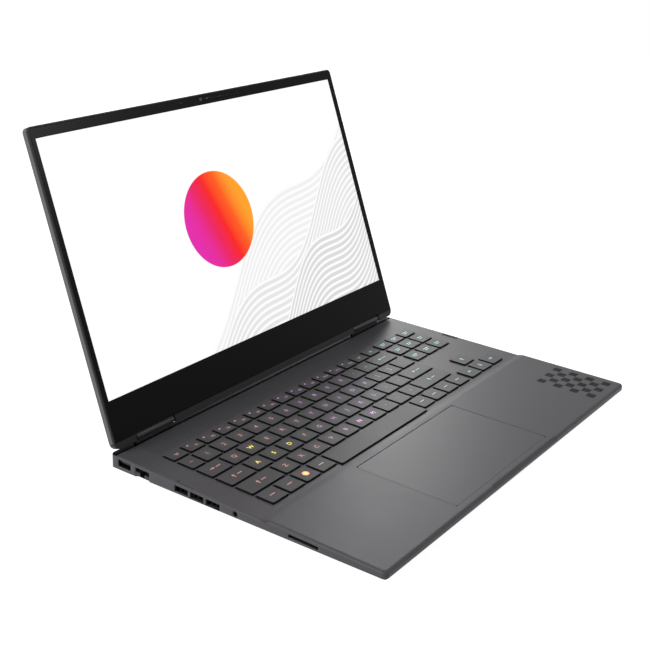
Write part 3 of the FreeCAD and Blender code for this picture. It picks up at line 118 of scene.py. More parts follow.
class Net:
    """A material's node tree with short calls for the nodes used here."""

    def __init__(self, name):
        self.material = bpy.data.materials.new(name)
        self.material.use_nodes = True
        self.tree = self.material.node_tree
        self.shader = self.tree.nodes["Principled BSDF"]
        self.place = self.node("ShaderNodeTexCoord").outputs["Object"]

    def node(self, kind, inputs=(), **settings):
        node = self.tree.nodes.new(kind)
        for name, value in settings.items():
            setattr(node, name, value)
        for key, value in dict(inputs).items():
            self.put(node.inputs[key], value)
        return node

    def put(self, socket, value):
        if isinstance(value, bpy.types.NodeSocket):
            self.tree.links.new(value, socket)
        else:
            socket.default_value = value

    def shade(self, name, value):
        self.put(self.shader.inputs[name], value)

    def math(self, operation, first, second=0.0, third=0.0, clamp=False):
        inputs = {0: first, 1: second, 2: third}
        return self.node("ShaderNodeMath", inputs, operation=operation, use_clamp=clamp).outputs[0]

    def vector(self, operation, first, second):
        return self.node("ShaderNodeVectorMath", {0: first, 1: second}, operation=operation).outputs

    def product(self, first, *others):
        for other in others:
            first = self.math("MULTIPLY", first, other)
        return first

    def distance(self, across, deep):
        squares = self.math("ADD", self.product(across, across), self.product(deep, deep))
        return self.math("SQRT", squares)

    def step(self, value, low, high):
        """Rises smoothly from 0 to 1 as the value goes from low to high."""
        inputs = {"Value": value, "From Min": low, "From Max": high}
        return self.node("ShaderNodeMapRange", inputs, interpolation_type="SMOOTHSTEP").outputs["Result"]

    def fade(self, value, low, high):
        """Falls smoothly from 1 to 0 as the value goes from low to high."""
        return self.math("SUBTRACT", 1.0, self.step(value, low, high))

    def mix(self, share, first, second):
        node = self.node("ShaderNodeMix", data_type="RGBA")
        self.put(node.inputs["Factor"], share)
        self.put(node.inputs[6], first)
        self.put(node.inputs[7], second)
        return node.outputs[2]

    def noise(self, per_metre, detail=2.0, rough=0.5):
        inputs = {"Vector": self.place, "Scale": per_metre, "Detail": detail, "Roughness": rough}
        return self.node("ShaderNodeTexNoise", inputs).outputs["Fac"]

    def axes(self, place=None):
        return self.node("ShaderNodeSeparateXYZ", {0: place or self.place}).outputs

    def millimetres(self, length):
        return self.math("MULTIPLY", length, 1 / MM)

    def along(self, direction, start):
        """Distance in millimetres from a point along a direction."""
        shifted = self.vector("SUBTRACT", self.place, tuple(start))[0]
        return self.millimetres(self.vector("DOT_PRODUCT", shifted, tuple(direction))["Value"])

    def ramp(self, share, stops):
        node = self.node("ShaderNodeValToRGB", {0: share})
        points = node.color_ramp.elements
        while len(points) < len(stops):
            points.new(0.5)
        for point, (at, colour) in zip(points, stops):
            point.position = at
            point.color = colour
        return node.outputs["Color"]

    def zones(self):
        """The key lighting's colour at this place."""
        inputs = {"Value": self.axes()[0], "From Min": -LIGHT_REACH * MM, "From Max": LIGHT_REACH * MM}
        return self.ramp(self.node("ShaderNodeMapRange", inputs).outputs[0], ZONES)

    def glow(self, colour, strength):
        self.shade("Emission Color", colour)
        self.shade("Emission Strength", strength)

    def bump(self, height, depth_mm, strength, under):
        inputs = {"Height": height, "Distance": depth_mm * MM, "Strength": strength}
        node = self.node("ShaderNodeBump", inputs)
        if under is not None:
            self.put(node.inputs["Normal"], under)
        return node.outputs["Normal"]


# Patches and smudges per metre, the strip along the case's sides and front that takes the larger radius,
# and how strongly and how much paler edges are painted, partly as wear and partly as a painted highlight.
PATCHES, SMUDGES, GRAIN_STRENGTH = 22.0, 55.0, 0.5
RIM_OUTER, RIM_INNER = 3.0, 4.0
WEAR_AND_SHEEN_STRENGTH, WEAR_AND_SHEEN_LIGHTER = 2.4, 2.6


def edge_normal(net, edge_mm, rim_mm):
    """A normal that rounds off edges, by a larger radius along the case's sides and front if asked."""
    radius = edge_mm * MM
    if rim_mm:
        x, y = net.axes()[:2]
        aside = net.step(net.math("ABSOLUTE", x), (CASE_SIDE - RIM_INNER) * MM, (CASE_SIDE - RIM_OUTER) * MM)
        ahead = net.fade(y, (CASE_FRONT + RIM_OUTER) * MM, (CASE_FRONT + RIM_INNER) * MM)
        rim = net.math("MAXIMUM", aside, ahead)
        radius = net.math("MULTIPLY_ADD", rim, rim_mm * MM - radius, radius)
    return net.node("ShaderNodeBevel", {"Radius": radius}, samples=6).outputs["Normal"]


def surface(name, colour, rough, metal=0.0, specular=0.5, grain_mm=0.3, grain_depth=0.02, vary=0.08,
            smudge=0.08, edge_mm=0.0, rim_mm=0.0):
    """A finish with fine grain and patches of tone and gloss; if asked, edges round off and turn paler, as
    wear and a painted highlight.
    """
    net = Net(name)
    patches = net.noise(PATCHES, detail=4.0, rough=0.6)
    net.grain = net.noise(1 / MM / grain_mm)
    tone = net.math("MULTIPLY_ADD", patches, 2 * vary, 1 - vary)
    speck = net.math("MULTIPLY_ADD", net.grain, vary, 1 - vary / 2)
    inputs = {0: colour[:3], "Scale": net.product(tone, speck)}
    net.tinted = net.node("ShaderNodeVectorMath", inputs, operation="SCALE").outputs[0]
    net.under = None
    if edge_mm:
        net.under = edge_normal(net, edge_mm, rim_mm)
        flat = net.node("ShaderNodeNewGeometry").outputs["True Normal"]
        turned = net.math("SUBTRACT", 1.0, net.vector("DOT_PRODUCT", net.under, flat)["Value"])
        # Paler edges: partly wear, partly a painted highlight where a rounded edge would catch light.
        edge_wear_and_sheen = net.math("MULTIPLY", turned, net.product(patches, WEAR_AND_SHEEN_STRENGTH), clamp=True)
        wear_and_sheen_colour = tuple(min(1.0, WEAR_AND_SHEEN_LIGHTER * share) for share in colour[:3])
        net.tinted = net.mix(edge_wear_and_sheen, net.tinted, (*wear_and_sheen_colour, 1.0))
    net.shade("Base Color", net.tinted)
    gloss = net.math("MULTIPLY_ADD", net.noise(SMUDGES, detail=3.0), 2 * smudge, rough - smudge)
    net.shade("Roughness", gloss)
    net.shade("Metallic", metal)
    net.shade("Specular IOR Level", specular)
    net.shade("Normal", net.bump(net.grain, grain_depth, GRAIN_STRENGTH, net.under))
    return net


# Painted holes behind the keyboard, darker grey as painted shade: their pitch, their soft edge as a share of
# it, and the strip they fill.
HOLE_PITCH, HOLE_INNER, HOLE_OUTER = 1.9, 0.2, 0.32
HOLE_DEPTH, HOLE_STRENGTH = 0.08, 0.4
HOLES_FRONT, HOLES_REAR, HOLES_SOFT = 51.0, 73.6, 0.6
HOLES_SIDE, HOLES_SIDE_SOFT = 163.0, 1.0

# The near-black painted shade under the lid, the heights between which the upper face begins, and how far the
# ramp is shaded as level.
LID_SHADE_FRONT, LID_SHADE_SOFT = 74.6, 0.4
FACE_LOW, FACE_HIGH = DECK_TOP - 0.3, DECK_TOP - 0.1
RAMP_AHEAD, RAMP_SOFT, RAMP_LEVEL = 0.8, 0.4, 0.8


def hole_share(net):
    """1 in the middle of each hole and 0 between holes."""
    cell = net.vector("DIVIDE", net.place, (HOLE_PITCH * MM, HOLE_PITCH * MM, 1.0))[0]
    part = net.node("ShaderNodeVectorMath", {0: cell}, operation="FRACTION").outputs[0]
    across, deep = (net.math("SUBTRACT", axis, 0.5) for axis in net.axes(part)[:2])
    return net.fade(net.distance(across, deep), HOLE_INNER, HOLE_OUTER)


def case_material():
    """Dark grey satin paint: fine holes behind the keyboard in painted shade, near-black painted shade under
    the lid, a soft ramp.
    """
    shine, lid_shade_shine, grain_depth = 0.12, 0.01, 0.008
    net = surface("case_paint", srgb(70, 69, 72), 0.38, specular=shine, grain_mm=0.25,
                  grain_depth=grain_depth, vary=0.03, smudge=0.03, edge_mm=0.5, rim_mm=2.2)
    x, y, z = (net.millimetres(axis) for axis in net.axes()[:3])
    top = net.step(z, FACE_LOW, FACE_HIGH)
    behind = net.step(y, HOLES_FRONT, HOLES_FRONT + HOLES_SOFT)
    before = net.fade(y, HOLES_REAR - HOLES_SOFT, HOLES_REAR)
    wide = net.fade(net.math("ABSOLUTE", x), HOLES_SIDE, HOLES_SIDE + HOLES_SIDE_SOFT)
    holes = net.product(hole_share(net), behind, before, wide, top)
    # The holes are not cut; their darker grey is painted shade.
    paint = net.mix(holes, net.tinted, srgb(38, 38, 39))
    # Painted shade: the deck under the lid turns near-black and loses its shine.
    lid_shade = net.product(top, net.step(y, LID_SHADE_FRONT, LID_SHADE_FRONT + LID_SHADE_SOFT))
    net.shade("Base Color", net.mix(lid_shade, paint, srgb(8, 8, 8)))
    net.shade("Specular IOR Level", net.math("MULTIPLY_ADD", lid_shade, lid_shade_shine - shine, shine))
    ramp_start = net.step(y, RAMP_FRONT - RAMP_AHEAD, RAMP_FRONT + RAMP_SOFT)
    ramp_end = net.fade(y, RAMP_REAR - RAMP_SOFT, RAMP_REAR + RAMP_SOFT)
    level = net.product(ramp_start, ramp_end, top, RAMP_LEVEL)
    levelled = net.node("ShaderNodeMix", {0: level}, data_type="VECTOR")
    net.put(levelled.inputs[4], net.under)
    net.put(levelled.inputs[5], (0.0, 0.0, 1.0))
    sunk = net.bump(net.math("SUBTRACT", 1.0, holes), HOLE_DEPTH, HOLE_STRENGTH, levelled.outputs[1])
    net.shade("Normal", net.bump(net.grain, grain_depth, GRAIN_STRENGTH, sunk))
    return net.material


# The dark strip under the screen and the dark front half of the lid's rim, each with a soft edge.
STRIP_TOP, STRIP_TOP_SOFT, STRIP_BACK, STRIP_BACK_SOFT = 2.4, 0.2, -2.6, 0.4
RIM_JOINT, RIM_JOINT_SOFT = 1.3, 0.15


def lid_material():
    """Dark grey paint, almost black on the strip under the screen and on the front half of the rim."""
    shine, dark_shine = 0.35, 0.15
    net = surface("lid_paint", srgb(72, 72, 73), 0.4, specular=shine, grain_mm=0.25, grain_depth=0.008,
                  vary=0.03, smudge=0.03)
    up, out = net.along(LID_UP, HINGE), net.along(LID_OUT, HINGE)
    low = net.fade(up, STRIP_TOP, STRIP_TOP + STRIP_TOP_SOFT)
    strip = net.product(low, net.step(out, STRIP_BACK, STRIP_BACK + STRIP_BACK_SOFT))
    rim = net.step(out, RIM_JOINT - RIM_JOINT_SOFT, RIM_JOINT + RIM_JOINT_SOFT)
    dark = net.math("MAXIMUM", strip, rim)
    net.shade("Base Color", net.mix(dark, net.tinted, srgb(30, 30, 31)))
    net.shade("Specular IOR Level", net.math("MULTIPLY_ADD", dark, dark_shine - shine, shine))
    return net.material


# How far up a cap's face turns between its side, painted dark as shade, and its top, and how far a legend's
# painted light spreads on it.
CAP_SIDE, CAP_TOP = 0.55, 0.9
SPREAD_INNER, SPREAD_OUTER = 0.5, 7.0


def key_material(name, row=0, left=0.0, pitch=PITCH, lit=0, strength=0.0):
    """Grey caps, sides painted near-black as shade; the first lit keys of a row glow round their legends in
    the legends' colour, painted light.
    """
    net = surface(name, srgb(68, 68, 69), 0.42, specular=0.12, grain_mm=0.2, grain_depth=0.01, vary=0.04,
                  smudge=0.03)
    facing = net.axes(net.node("ShaderNodeNewGeometry").outputs["Normal"])[2]
    top = net.step(facing, CAP_SIDE, CAP_TOP)
    # Painted shade: faces that turn away from the top are near-black.
    net.shade("Base Color", net.mix(top, srgb(14, 14, 15), net.tinted))
    if lit:
        x, y = net.axes()[:2]
        key = net.math("MULTIPLY_ADD", x, 1 / (pitch * MM), -(KEY_LEFT + left) / pitch)
        across = net.product(net.math("SUBTRACT", net.math("FRACT", key), 0.5), pitch)
        deep = net.math("MULTIPLY_ADD", y, 1 / MM, -row_y(row))
        near = net.fade(net.distance(across, deep), SPREAD_INNER, SPREAD_OUTER)
        among = net.product(net.math("GREATER_THAN", key, 0.0), net.math("LESS_THAN", key, lit))
        # Painted light: the cap's top glows round the legend.
        net.glow(net.zones(), net.product(near, among, top, strength))
    return net.material


def backlight_material():
    """The plate under the keys, faintly lit in the colours of the key lighting."""
    net = surface("backlit_plate", srgb(16, 16, 17), 0.6, grain_mm=0.4)
    net.glow(net.zones(), 0.02)
    return net.material


def legend_material():
    """Legends in the colours of the key lighting."""
    net = surface("legend_glow", srgb(150, 150, 150), 0.5)
    colour = net.zones()
    net.shade("Base Color", colour)
    net.glow(colour, 0.52)
    return net.material


def glow_material(name, colour, strength):
    """Legends of one colour."""
    net = surface(name, colour, 0.5)
    net.glow(colour, strength)
    return net.material


# The screen's picture. A hill has a height, its wave's swing, rate and phase, and the tone of its lines.
HILLS = [
    (58.0, 18.0, 0.030, 0.4, 0.86), (24.0, 16.0, 0.036, 2.1, 0.78), (-14.0, 14.0, 0.043, 4.2, 0.70),
]
HILL_SLOPE, HILL_SOFT, LINE_RATE, LINE_LOW, LINE_HIGH, PALE = 0.62, 0.25, 1.1, 0.1, 0.4, 0.97
DISC_X, DISC_UP, DISC_RADIUS, DISC_SOFT, DISC_SLANT = -14.0, 104.0, 41.0, 0.3, 0.35
WARM = [
    (0.0, srgb(226, 30, 172)), (0.3, srgb(235, 14, 90)), (0.55, srgb(248, 18, 14)),
    (0.8, srgb(255, 89, 0)), (1.0, srgb(255, 162, 24)),
]
PANEL_GRAIN, PANEL_GRAIN_SHARE, PANEL_ROUGH, PANEL_DARK = 3000.0, 0.1, 0.42, 0.006


def screen_material():
    """A lit panel with a plain landscape: a warm disc over pale wavy hills."""
    net = Net("screen_picture")
    across = net.millimetres(net.axes()[0])
    up = net.math("SUBTRACT", net.along(LID_UP, HINGE), SCREEN_LOW)
    picture = (1.0, 1.0, 1.0, 1.0)
    for level, swing, rate, phase, shade in HILLS:
        wave = net.math("SINE", net.math("MULTIPLY_ADD", across, rate, phase))
        slope = net.math("MULTIPLY_ADD", across, HILL_SLOPE, level)
        below = net.math("SUBTRACT", net.math("MULTIPLY_ADD", wave, swing, slope), up)
        lines = net.step(net.math("SINE", net.product(below, LINE_RATE)), LINE_LOW, LINE_HIGH)
        tone = net.mix(lines, (shade, shade, shade, 1), (PALE, PALE, PALE, 1))
        picture = net.mix(net.step(below, -HILL_SOFT, HILL_SOFT), picture, tone)
    off_x, off_up = net.math("SUBTRACT", across, DISC_X), net.math("SUBTRACT", up, DISC_UP)
    inside = net.fade(net.distance(off_x, off_up), DISC_RADIUS - DISC_SOFT, DISC_RADIUS + DISC_SOFT)
    slant = net.step(net.math("MULTIPLY_ADD", off_up, DISC_SLANT, off_x), -DISC_RADIUS, DISC_RADIUS)
    net.shade("Base Color", (PANEL_DARK, PANEL_DARK, PANEL_DARK, 1))
    net.shade("Specular IOR Level", 0.1)
    grain = net.noise(PANEL_GRAIN)
    net.shade("Roughness", net.math("MULTIPLY_ADD", grain, PANEL_GRAIN_SHARE, PANEL_ROUGH))
    net.glow(net.mix(inside, picture, net.ramp(slant, WARM)), 1.0)
    return net.material


def finish(*looks, **details):
    """A surface that needs nothing added."""
    return surface(*looks, **details).material


CASE = case_material()
COVER = finish("cover_paint", srgb(52, 52, 53), 0.5, specular=0.15, grain_depth=0.012, vary=0.05, edge_mm=0.3)
LID = lid_material()
BEZEL = finish("bezel_plastic", srgb(6, 6, 7), 0.29, specular=0.055, grain_mm=0.4, grain_depth=0.008,
               vary=0.1, smudge=0.03)
CAPS_PAINT = finish("hinge_cap_paint", srgb(50, 50, 51), 0.45, specular=0.25, grain_mm=0.25,
                    grain_depth=0.008)
PAD = finish("touchpad_glass", srgb(71, 70, 73), 0.37, specular=0.12, grain_mm=0.2, grain_depth=0.004,
             vary=0.02, smudge=0.02)
KEYS = key_material("key_plastic")
BACKLIGHT = backlight_material()
SCREEN = screen_material()
LEGEND = legend_material()
YELLOW = glow_material("legend_yellow", srgb(226, 210, 92), 0.95)
PINK = glow_material("legend_pink", srgb(226, 152, 218), 0.78)
ORANGE = glow_material("legend_orange", srgb(250, 150, 110), 1.0)
DIM = glow_material("legend_dim", srgb(150, 150, 150), 0.05)
SOCKET_STEEL = finish("socket_steel", srgb(58, 58, 60), 0.42, metal=1.0, grain_mm=0.15, grain_depth=0.004)
# Near-black side fins: painted shade for the dark inside of the side vents.
SHADED_FINS = finish("blackened_fins", srgb(10, 10, 11), 0.6, specular=0.1, grain_mm=0.2, grain_depth=0.006)
DARK_STEEL = finish("blackened_steel", srgb(48, 48, 50), 0.4, metal=0.9, grain_mm=0.15, grain_depth=0.004)
PLASTIC = finish("socket_plastic", srgb(18, 18, 19), 0.5, grain_mm=0.2, grain_depth=0.01)
GOLD = finish("contact_gold", srgb(212, 170, 92), 0.28, metal=1.0, grain_mm=0.1, grain_depth=0.002)
BOARD = finish("circuit_board", srgb(20, 52, 38), 0.45, grain_mm=0.6, grain_depth=0.03, vary=0.2)
FAN = finish("fan_plastic", srgb(26, 26, 27), 0.48)
FINS = finish("fin_aluminium", srgb(176, 178, 180), 0.34, metal=1.0, grain_mm=0.2, grain_depth=0.006)
COPPER = finish("heat_pipe_copper", srgb(196, 118, 82), 0.32, metal=1.0, grain_depth=0.008)
BATTERY = finish("battery_wrap", srgb(30, 30, 33), 0.5, grain_mm=0.5)
RUBBER = finish("foot_rubber", srgb(20, 20, 20), 0.78, specular=0.25, grain_mm=0.35, grain_depth=0.05,
                vary=0.14)
PRINT = finish("deck_print", srgb(22, 22, 23), 0.6, specular=0.07, grain_mm=0.2, grain_depth=0.006)
LENS = finish("lens_glass", srgb(8, 8, 12), 0.12, specular=0.6, grain_mm=0.5, grain_depth=0.001, smudge=0.03)


# Finishes and softened edges of the CAD nodes

KEY_EDGE = 0.3
PLAIN_KEYS = [
    "space_bar", "enter_key", "backspace_key", "left_shift_key", "right_shift_key", "tab_key",
    "caps_lock_key", "bottom_keys", "navigation_keys", "arrow_keys",
]
# Rows with lit keys: the row, where its keys start, their pitch, how many are lit, and how strongly.
LIT_KEYS = {
    "lower_letter_keys": (1, SHIFT, PITCH, 7, 0.06),
    "home_letter_keys": (2, CAPS, PITCH, 9, 0.06),
    "upper_letter_keys": (3, TAB, PITCH, 10, 0.06),
    "digit_keys": (4, GRAVE, PITCH, 10, 0.05),
    "function_keys": (FUNCTION_ROW, FUNCTION_PITCH, FUNCTION_PITCH, 12, 0.025),
}
# A material, the width of the softened edges, and the nodes that have them.
FINISHES = [
    (CASE, 0, ["top_case"]),
    (COVER, 0, ["bottom_cover"]),
    (LID, 0.3, ["lid_back_cover"]),
    (BEZEL, 0.15, ["screen_bezel"]),
    (CAPS_PAINT, 0.15, ["hinge_caps"]),
    (SCREEN, 0, ["display_panel"]),
    (PAD, 0.15, ["touchpad"]),
    (KEYS, KEY_EDGE, PLAIN_KEYS),
    (BACKLIGHT, 0, ["keyboard_tray"]),
    (SOCKET_STEEL, 0, ["usb_socket_left", "usb_sockets_right", "video_socket", "usb_c_socket"]),
    (DARK_STEEL, 0, ["hinge_pin_left", "hinge_pin_right"]),
    (PLASTIC, 0, ["network_socket", "network_jaw", "audio_jack", "card_reader", "power_inlet"]),
    (PLASTIC, 0, ["speaker_left", "speaker_right"]),
    (DARK_STEEL, 0.1, ["bottom_screws", "touchpad_bracket", "hinge_bracket_left", "hinge_bracket_right"]),
    (DARK_STEEL, 0.1, ["hinge_arm_left", "hinge_arm_right"]),
    (BOARD, 0, ["mainboard", "storage_drive", "memory_modules", "wireless_card", "panel_board"]),
    (FAN, 0, ["fan_housing_left", "fan_housing_right", "fan_rotor_left", "fan_rotor_right"]),
    (FINS, 0, ["rear_fin_stack_left", "rear_fin_stack_right"]),
    (SHADED_FINS, 0, ["side_fin_stack_left", "side_fin_stack_right"]),
    (COPPER, 0, ["heat_pipe", "heat_spreader"]),
    (BATTERY, 0, ["battery_pack"]),
    (RUBBER, 0.3, ["rubber_feet"]),
    (LENS, 0, ["webcam_module"]),
]
FINISHES += [(key_material(f"{name}_plastic", *lit), KEY_EDGE, [name]) for name, lit in LIT_KEYS.items()]


def soften(node, width):
    """Small rounded edges on a rigid node."""
    node.modifiers.new("weld", "WELD").merge_threshold = 0.002 * MM
    bevel = node.modifiers.new("bevel", "BEVEL")
    bevel.width = width * MM
    bevel.segments = 2
    bevel.limit_method = "ANGLE"
    bevel.angle_limit = math.radians(30.0)
    bevel.use_clamp_overlap = False
    bevel.loop_slide = False
    bevel.harden_normals = True
    bevel.miter_outer = "MITER_ARC"


def finished(bm, name):
    """The mesh of a closed form, with its faces turned outward."""
    mesh = bpy.data.meshes.new(name)
    bmesh.ops.recalc_face_normals(bm, faces=bm.faces)
    bm.to_mesh(mesh)
    bm.free()
    return mesh


def rim_outline(places, rear):
    """Points round the case's upper edge: its own points on the four corners, and the ends of the ramp."""
    near, slack = 0.01, 0.001
    middle = (CASE_FRONT + rear) / 2

    def in_corner(place):
        over_x = abs(place.x) - CASE_SIDE + CASE_CORNER
        over_y = abs(place.y - middle) - (rear - CASE_FRONT) / 2 + CASE_CORNER
        on_arc = abs(math.hypot(over_x, over_y) - CASE_CORNER) < near
        return min(over_x, over_y) > -slack and on_arc and place.z > DECK_TOP - near

    outline = {(round(place.x, 3), round(place.y, 3)) for place in places if in_corner(place)}
    outline |= {(side, y) for side in (-CASE_SIDE, CASE_SIDE) for y in (RAMP_FRONT, RAMP_REAR)}
    return sorted(outline, key=lambda point: math.atan2(point[1] - middle, point[0]))


def rim_section(radius):
    """What is cut away to round an edge: distances outward and upward from the edge."""
    overlap, clear = 0.01, 1.0
    turns = [math.radians(90 * step / RIM_STEPS) for step in range(RIM_STEPS + 1)]
    section = [(radius * (math.cos(turn) - 1), radius * (math.sin(turn) - 1)) for turn in turns]
    section[0], section[-1] = (overlap, -radius), (-radius, overlap)
    return section + [(-radius, clear), (clear, clear), (clear, -radius)]


def rim_cutter(case):
    """A closed ring round the case's upper edge, shaped so that cutting it away leaves a rounded edge."""
    places = [vertex.co / MM for vertex in case.data.vertices]
    rear = max(place.y for place in places)
    outline = rim_outline(places, rear)
    bm = bmesh.new()
    rings = []
    for index, (x, y) in enumerate(outline):
        runs = ((outline[index - 1], (x, y)), ((x, y), outline[(index + 1) % len(outline)]))
        normals = [Vector((end[1] - start[1], start[0] - end[0])).normalized() for start, end in runs]
        outward = (normals[0] + normals[1]) / (1 + normals[0].dot(normals[1]))
        top, radius = PALM_TOP, PALM_RIM
        if y > RAMP_FRONT + 0.1:
            top = DECK_TOP
            radius = REAR_RIM + (DECK_RIM - REAR_RIM) * min((rear - y) / CASE_CORNER, 1.0)
        ring = [(x + outward.x * out, y + outward.y * out, top + up) for out, up in rim_section(radius)]
        rings.append([bm.verts.new(place) for place in ring])
    for ring, following in zip(rings, rings[1:] + rings[:1]):
        for corner in range(len(ring)):
            bm.faces.new((ring[corner - 1], ring[corner], following[corner], following[corner - 1]))
    bmesh.ops.scale(bm, vec=(MM, MM, MM), verts=bm.verts)
    cutter = bpy.data.objects.new("rim_cutter", finished(bm, "rim_cutter"))
    bpy.context.scene.collection.objects.link(cutter)
    cutter.hide_render = cutter.hide_viewport = True
    return cutter


def round_rim(case):
    """Rounds the case's upper edge, then clears up the short edges and split faces that the cut leaves."""
    rounding = case.modifiers.new("rounding", "BOOLEAN")
    rounding.object = rim_cutter(case)
    rounding.operation = "DIFFERENCE"
    rounding.solver = "EXACT"
    case.modifiers.new("weld", "WELD").merge_threshold = 0.02 * MM
    flat_faces = case.modifiers.new("flat_faces", "DECIMATE")
    flat_faces.decimate_type = "DISSOLVE"
    flat_faces.angle_limit = math.radians(0.5)


for material, width, names in FINISHES:
    for name in names:
        NODES[name].data.materials.clear()
        NODES[name].data.materials.append(material)
        if width:
            soften(NODES[name], width)
round_rim(NODES["top_case"])


# New pieces

def piece(name, bm, body, slot, *materials):
    mesh = finished(bm, name)
    made = bpy.data.objects.new(name, mesh)
    bpy.context.scene.collection.objects.link(made)
    for material in materials:
        mesh.materials.append(material)
    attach(made, body)


def prism(bm, outline, low, high, frame_matrix=Matrix.Identity(4), index=0):
    """A plate with the given outline, between two heights."""
    def corner(x, y, z):
        return bm.verts.new(frame_matrix @ (Vector((x, y, z)) * MM))
    lower = [corner(x, y, low) for x, y in outline]
    upper = [corner(x, y, high) for x, y in outline]
    faces = [bm.faces.new(upper), bm.faces.new(lower[::-1])]
    count = len(outline)
    for here in range(count):
        after = (here + 1) % count
        faces.append(bm.faces.new((lower[here], lower[after], upper[after], upper[here])))
    for face in faces:
        face.material_index = index


def rectangle(x, y, width, depth):
    left, right = x - width / 2, x + width / 2
    front, rear = y - depth / 2, y + depth / 2
    return [(left, front), (right, front), (right, rear), (left, rear)]


def rounded_square(x, y, width, radius):
    """A square with round corners."""
    reach, steps = width / 2 - radius, 4
    points = []
    for turn, (side_x, side_y) in enumerate(((1, 1), (-1, 1), (-1, -1), (1, -1))):
        for step in range(steps + 1):
            angle = math.radians(90 * turn + 90 * step / steps)
            out_x, out_y = radius * math.cos(angle), radius * math.sin(angle)
            points.append((x + side_x * reach + out_x, y + side_y * reach + out_y))
    return points


def polygon(x, y, radius, count):
    turns = [math.tau * corner / count for corner in range(count)]
    return [(x + radius * math.cos(turn), y + radius * math.sin(turn)) for turn in turns]


# Key legends: plain letters, digits and signs, lit from below

LETTER_SIZE, SMALL_SIZE = 5.5, 3.5
LEGEND_LOW, LEGEND_HIGH = KEY_TOP - 0.02, KEY_TOP + 0.03
ZONE_GLOW, YELLOW_GLOW, PINK_GLOW, OTHER_GLOW = range(4)
ROUND = 12

# Sizes of the signs, and where they are from the middle of a key. Bars have a place and a width.
THIN_BAR, BAR, THICK_BAR = 0.7, 0.8, 1.0
NUMBER_X, NUMBER_Y = 3.0, -1.6
FUNCTION_DOT_X, FUNCTION_DOT_Y, FUNCTION_DOT = -3.6, 2.2, 0.9
FUNCTION_BARS = ((0.0, 0.0, 4.2), (0.0, -1.5, 2.6))
WIDE_ARROW, WIDE_ARROW_X, WIDE_BAR, WIDE_BAR_X = 4.6, -2.6, 5.0, 3.6
BOTTOM_BAR, HEXAGON_PLACE, HEXAGON, HEXAGON_DOT = 5.4, 2, 3.0, 1.3
NAVIGATION_BARS = ((0.0, 1.0, 7.2), (-1.2, -1.3, 4.8))
CURSOR_ARROW = 4.8


@functools.cache
def glyph(text, size):
    """Vertices and faces of a thin solid text, centred."""
    curve = bpy.data.curves.new("glyph", "FONT")
    curve.body = text
    curve.size = size
    curve.resolution_u = 4
    curve.extrude = (LEGEND_HIGH - LEGEND_LOW) / 2
    curve.align_x = "CENTER"
    holder = bpy.data.objects.new("glyph", curve)
    bpy.context.scene.collection.objects.link(holder)
    bpy.context.view_layer.update()
    mesh = bpy.data.meshes.new_from_object(holder)
    bm = bmesh.new()
    bm.from_mesh(mesh)
    bmesh.ops.remove_doubles(bm, verts=bm.verts, dist=0.001)
    bm.verts.index_update()
    points = [tuple(vertex.co) for vertex in bm.verts]
    faces = [tuple(vertex.index for vertex in face.verts) for face in bm.faces]
    bm.free()
    bpy.data.objects.remove(holder)
    bpy.data.curves.remove(curve)
    bpy.data.meshes.remove(mesh)
    heights = [y for x, y, z in points]
    middle = (min(heights) + max(heights)) / 2
    return [(x, y - middle, z) for x, y, z in points], faces


def write(bm, text, size, x, y, index=ZONE_GLOW):
    points, faces = glyph(text, size)
    level = (LEGEND_LOW + LEGEND_HIGH) / 2
    made = [bm.verts.new(Vector((x + px, y + py, level + pz)) * MM) for px, py, pz in points]
    for face in faces:
        bm.faces.new([made[corner] for corner in face]).material_index = index


def plate(bm, outline, index=ZONE_GLOW, raised=0.0):
    prism(bm, outline, LEGEND_LOW, LEGEND_HIGH + raised, index=index)


def bar(bm, x, y, width, depth):
    plate(bm, rectangle(x, y, width, depth))


def arrow(bm, x, y, turn, size):
    """A small arrow that points along +X before it is turned."""
    tail, neck, tip, shaft, barb = -0.5, 0.05, 0.5, 0.09, 0.32
    lower = [(tail, -shaft), (neck, -shaft), (neck, -barb)]
    upper = [(neck, barb), (neck, shaft), (tail, shaft)]
    shape = [*lower, (tip, 0.0), *upper]
    cosine, sine = math.cos(math.radians(turn)), math.sin(math.radians(turn))
    turned = [(px * cosine - py * sine, px * sine + py * cosine) for px, py in shape]
    plate(bm, [(x + size * px, y + size * py) for px, py in turned])


def letter_legends(meshes):
    """Letters, digits and signs of the four middle rows."""
    indexes = {"WASD": YELLOW_GLOW, "NM": PINK_GLOW, "[];',./=": OTHER_GLOW}
    rows = [
        ("digit_keys", 4, GRAVE, "1234567890-="), ("upper_letter_keys", 3, TAB, "QWERTYUIOP[]"),
        ("home_letter_keys", 2, CAPS, "ASDFGHJKL;'"), ("lower_letter_keys", 1, SHIFT, "ZXCVBNM,./"),
    ]
    for body, row, left, text in rows:
        for place, sign in enumerate(text):
            index = next((index for signs, index in indexes.items() if sign in signs), ZONE_GLOW)
            write(meshes[body], sign, LETTER_SIZE, key_x(left, place), row_y(row), index)
    write(meshes["digit_keys"], "~", LETTER_SIZE, KEY_LEFT + GRAVE / 2, row_y(4))


def function_legends(meshes):
    """F1 to F12 with a dot each, and two bars on the other three keys."""
    bm, y = meshes["function_keys"], row_y(FUNCTION_ROW)
    for number in range(1, 13):
        x = key_x(0, number, FUNCTION_PITCH)
        write(bm, f"F{number}", SMALL_SIZE, x + NUMBER_X, y + NUMBER_Y)
        plate(bm, polygon(x + FUNCTION_DOT_X, y + FUNCTION_DOT_Y, FUNCTION_DOT, ROUND))
    for place in (0, 13, 14):
        for off_x, off_y, width in FUNCTION_BARS:
            bar(bm, key_x(0, place, FUNCTION_PITCH) + off_x, y + off_y, width, THIN_BAR)


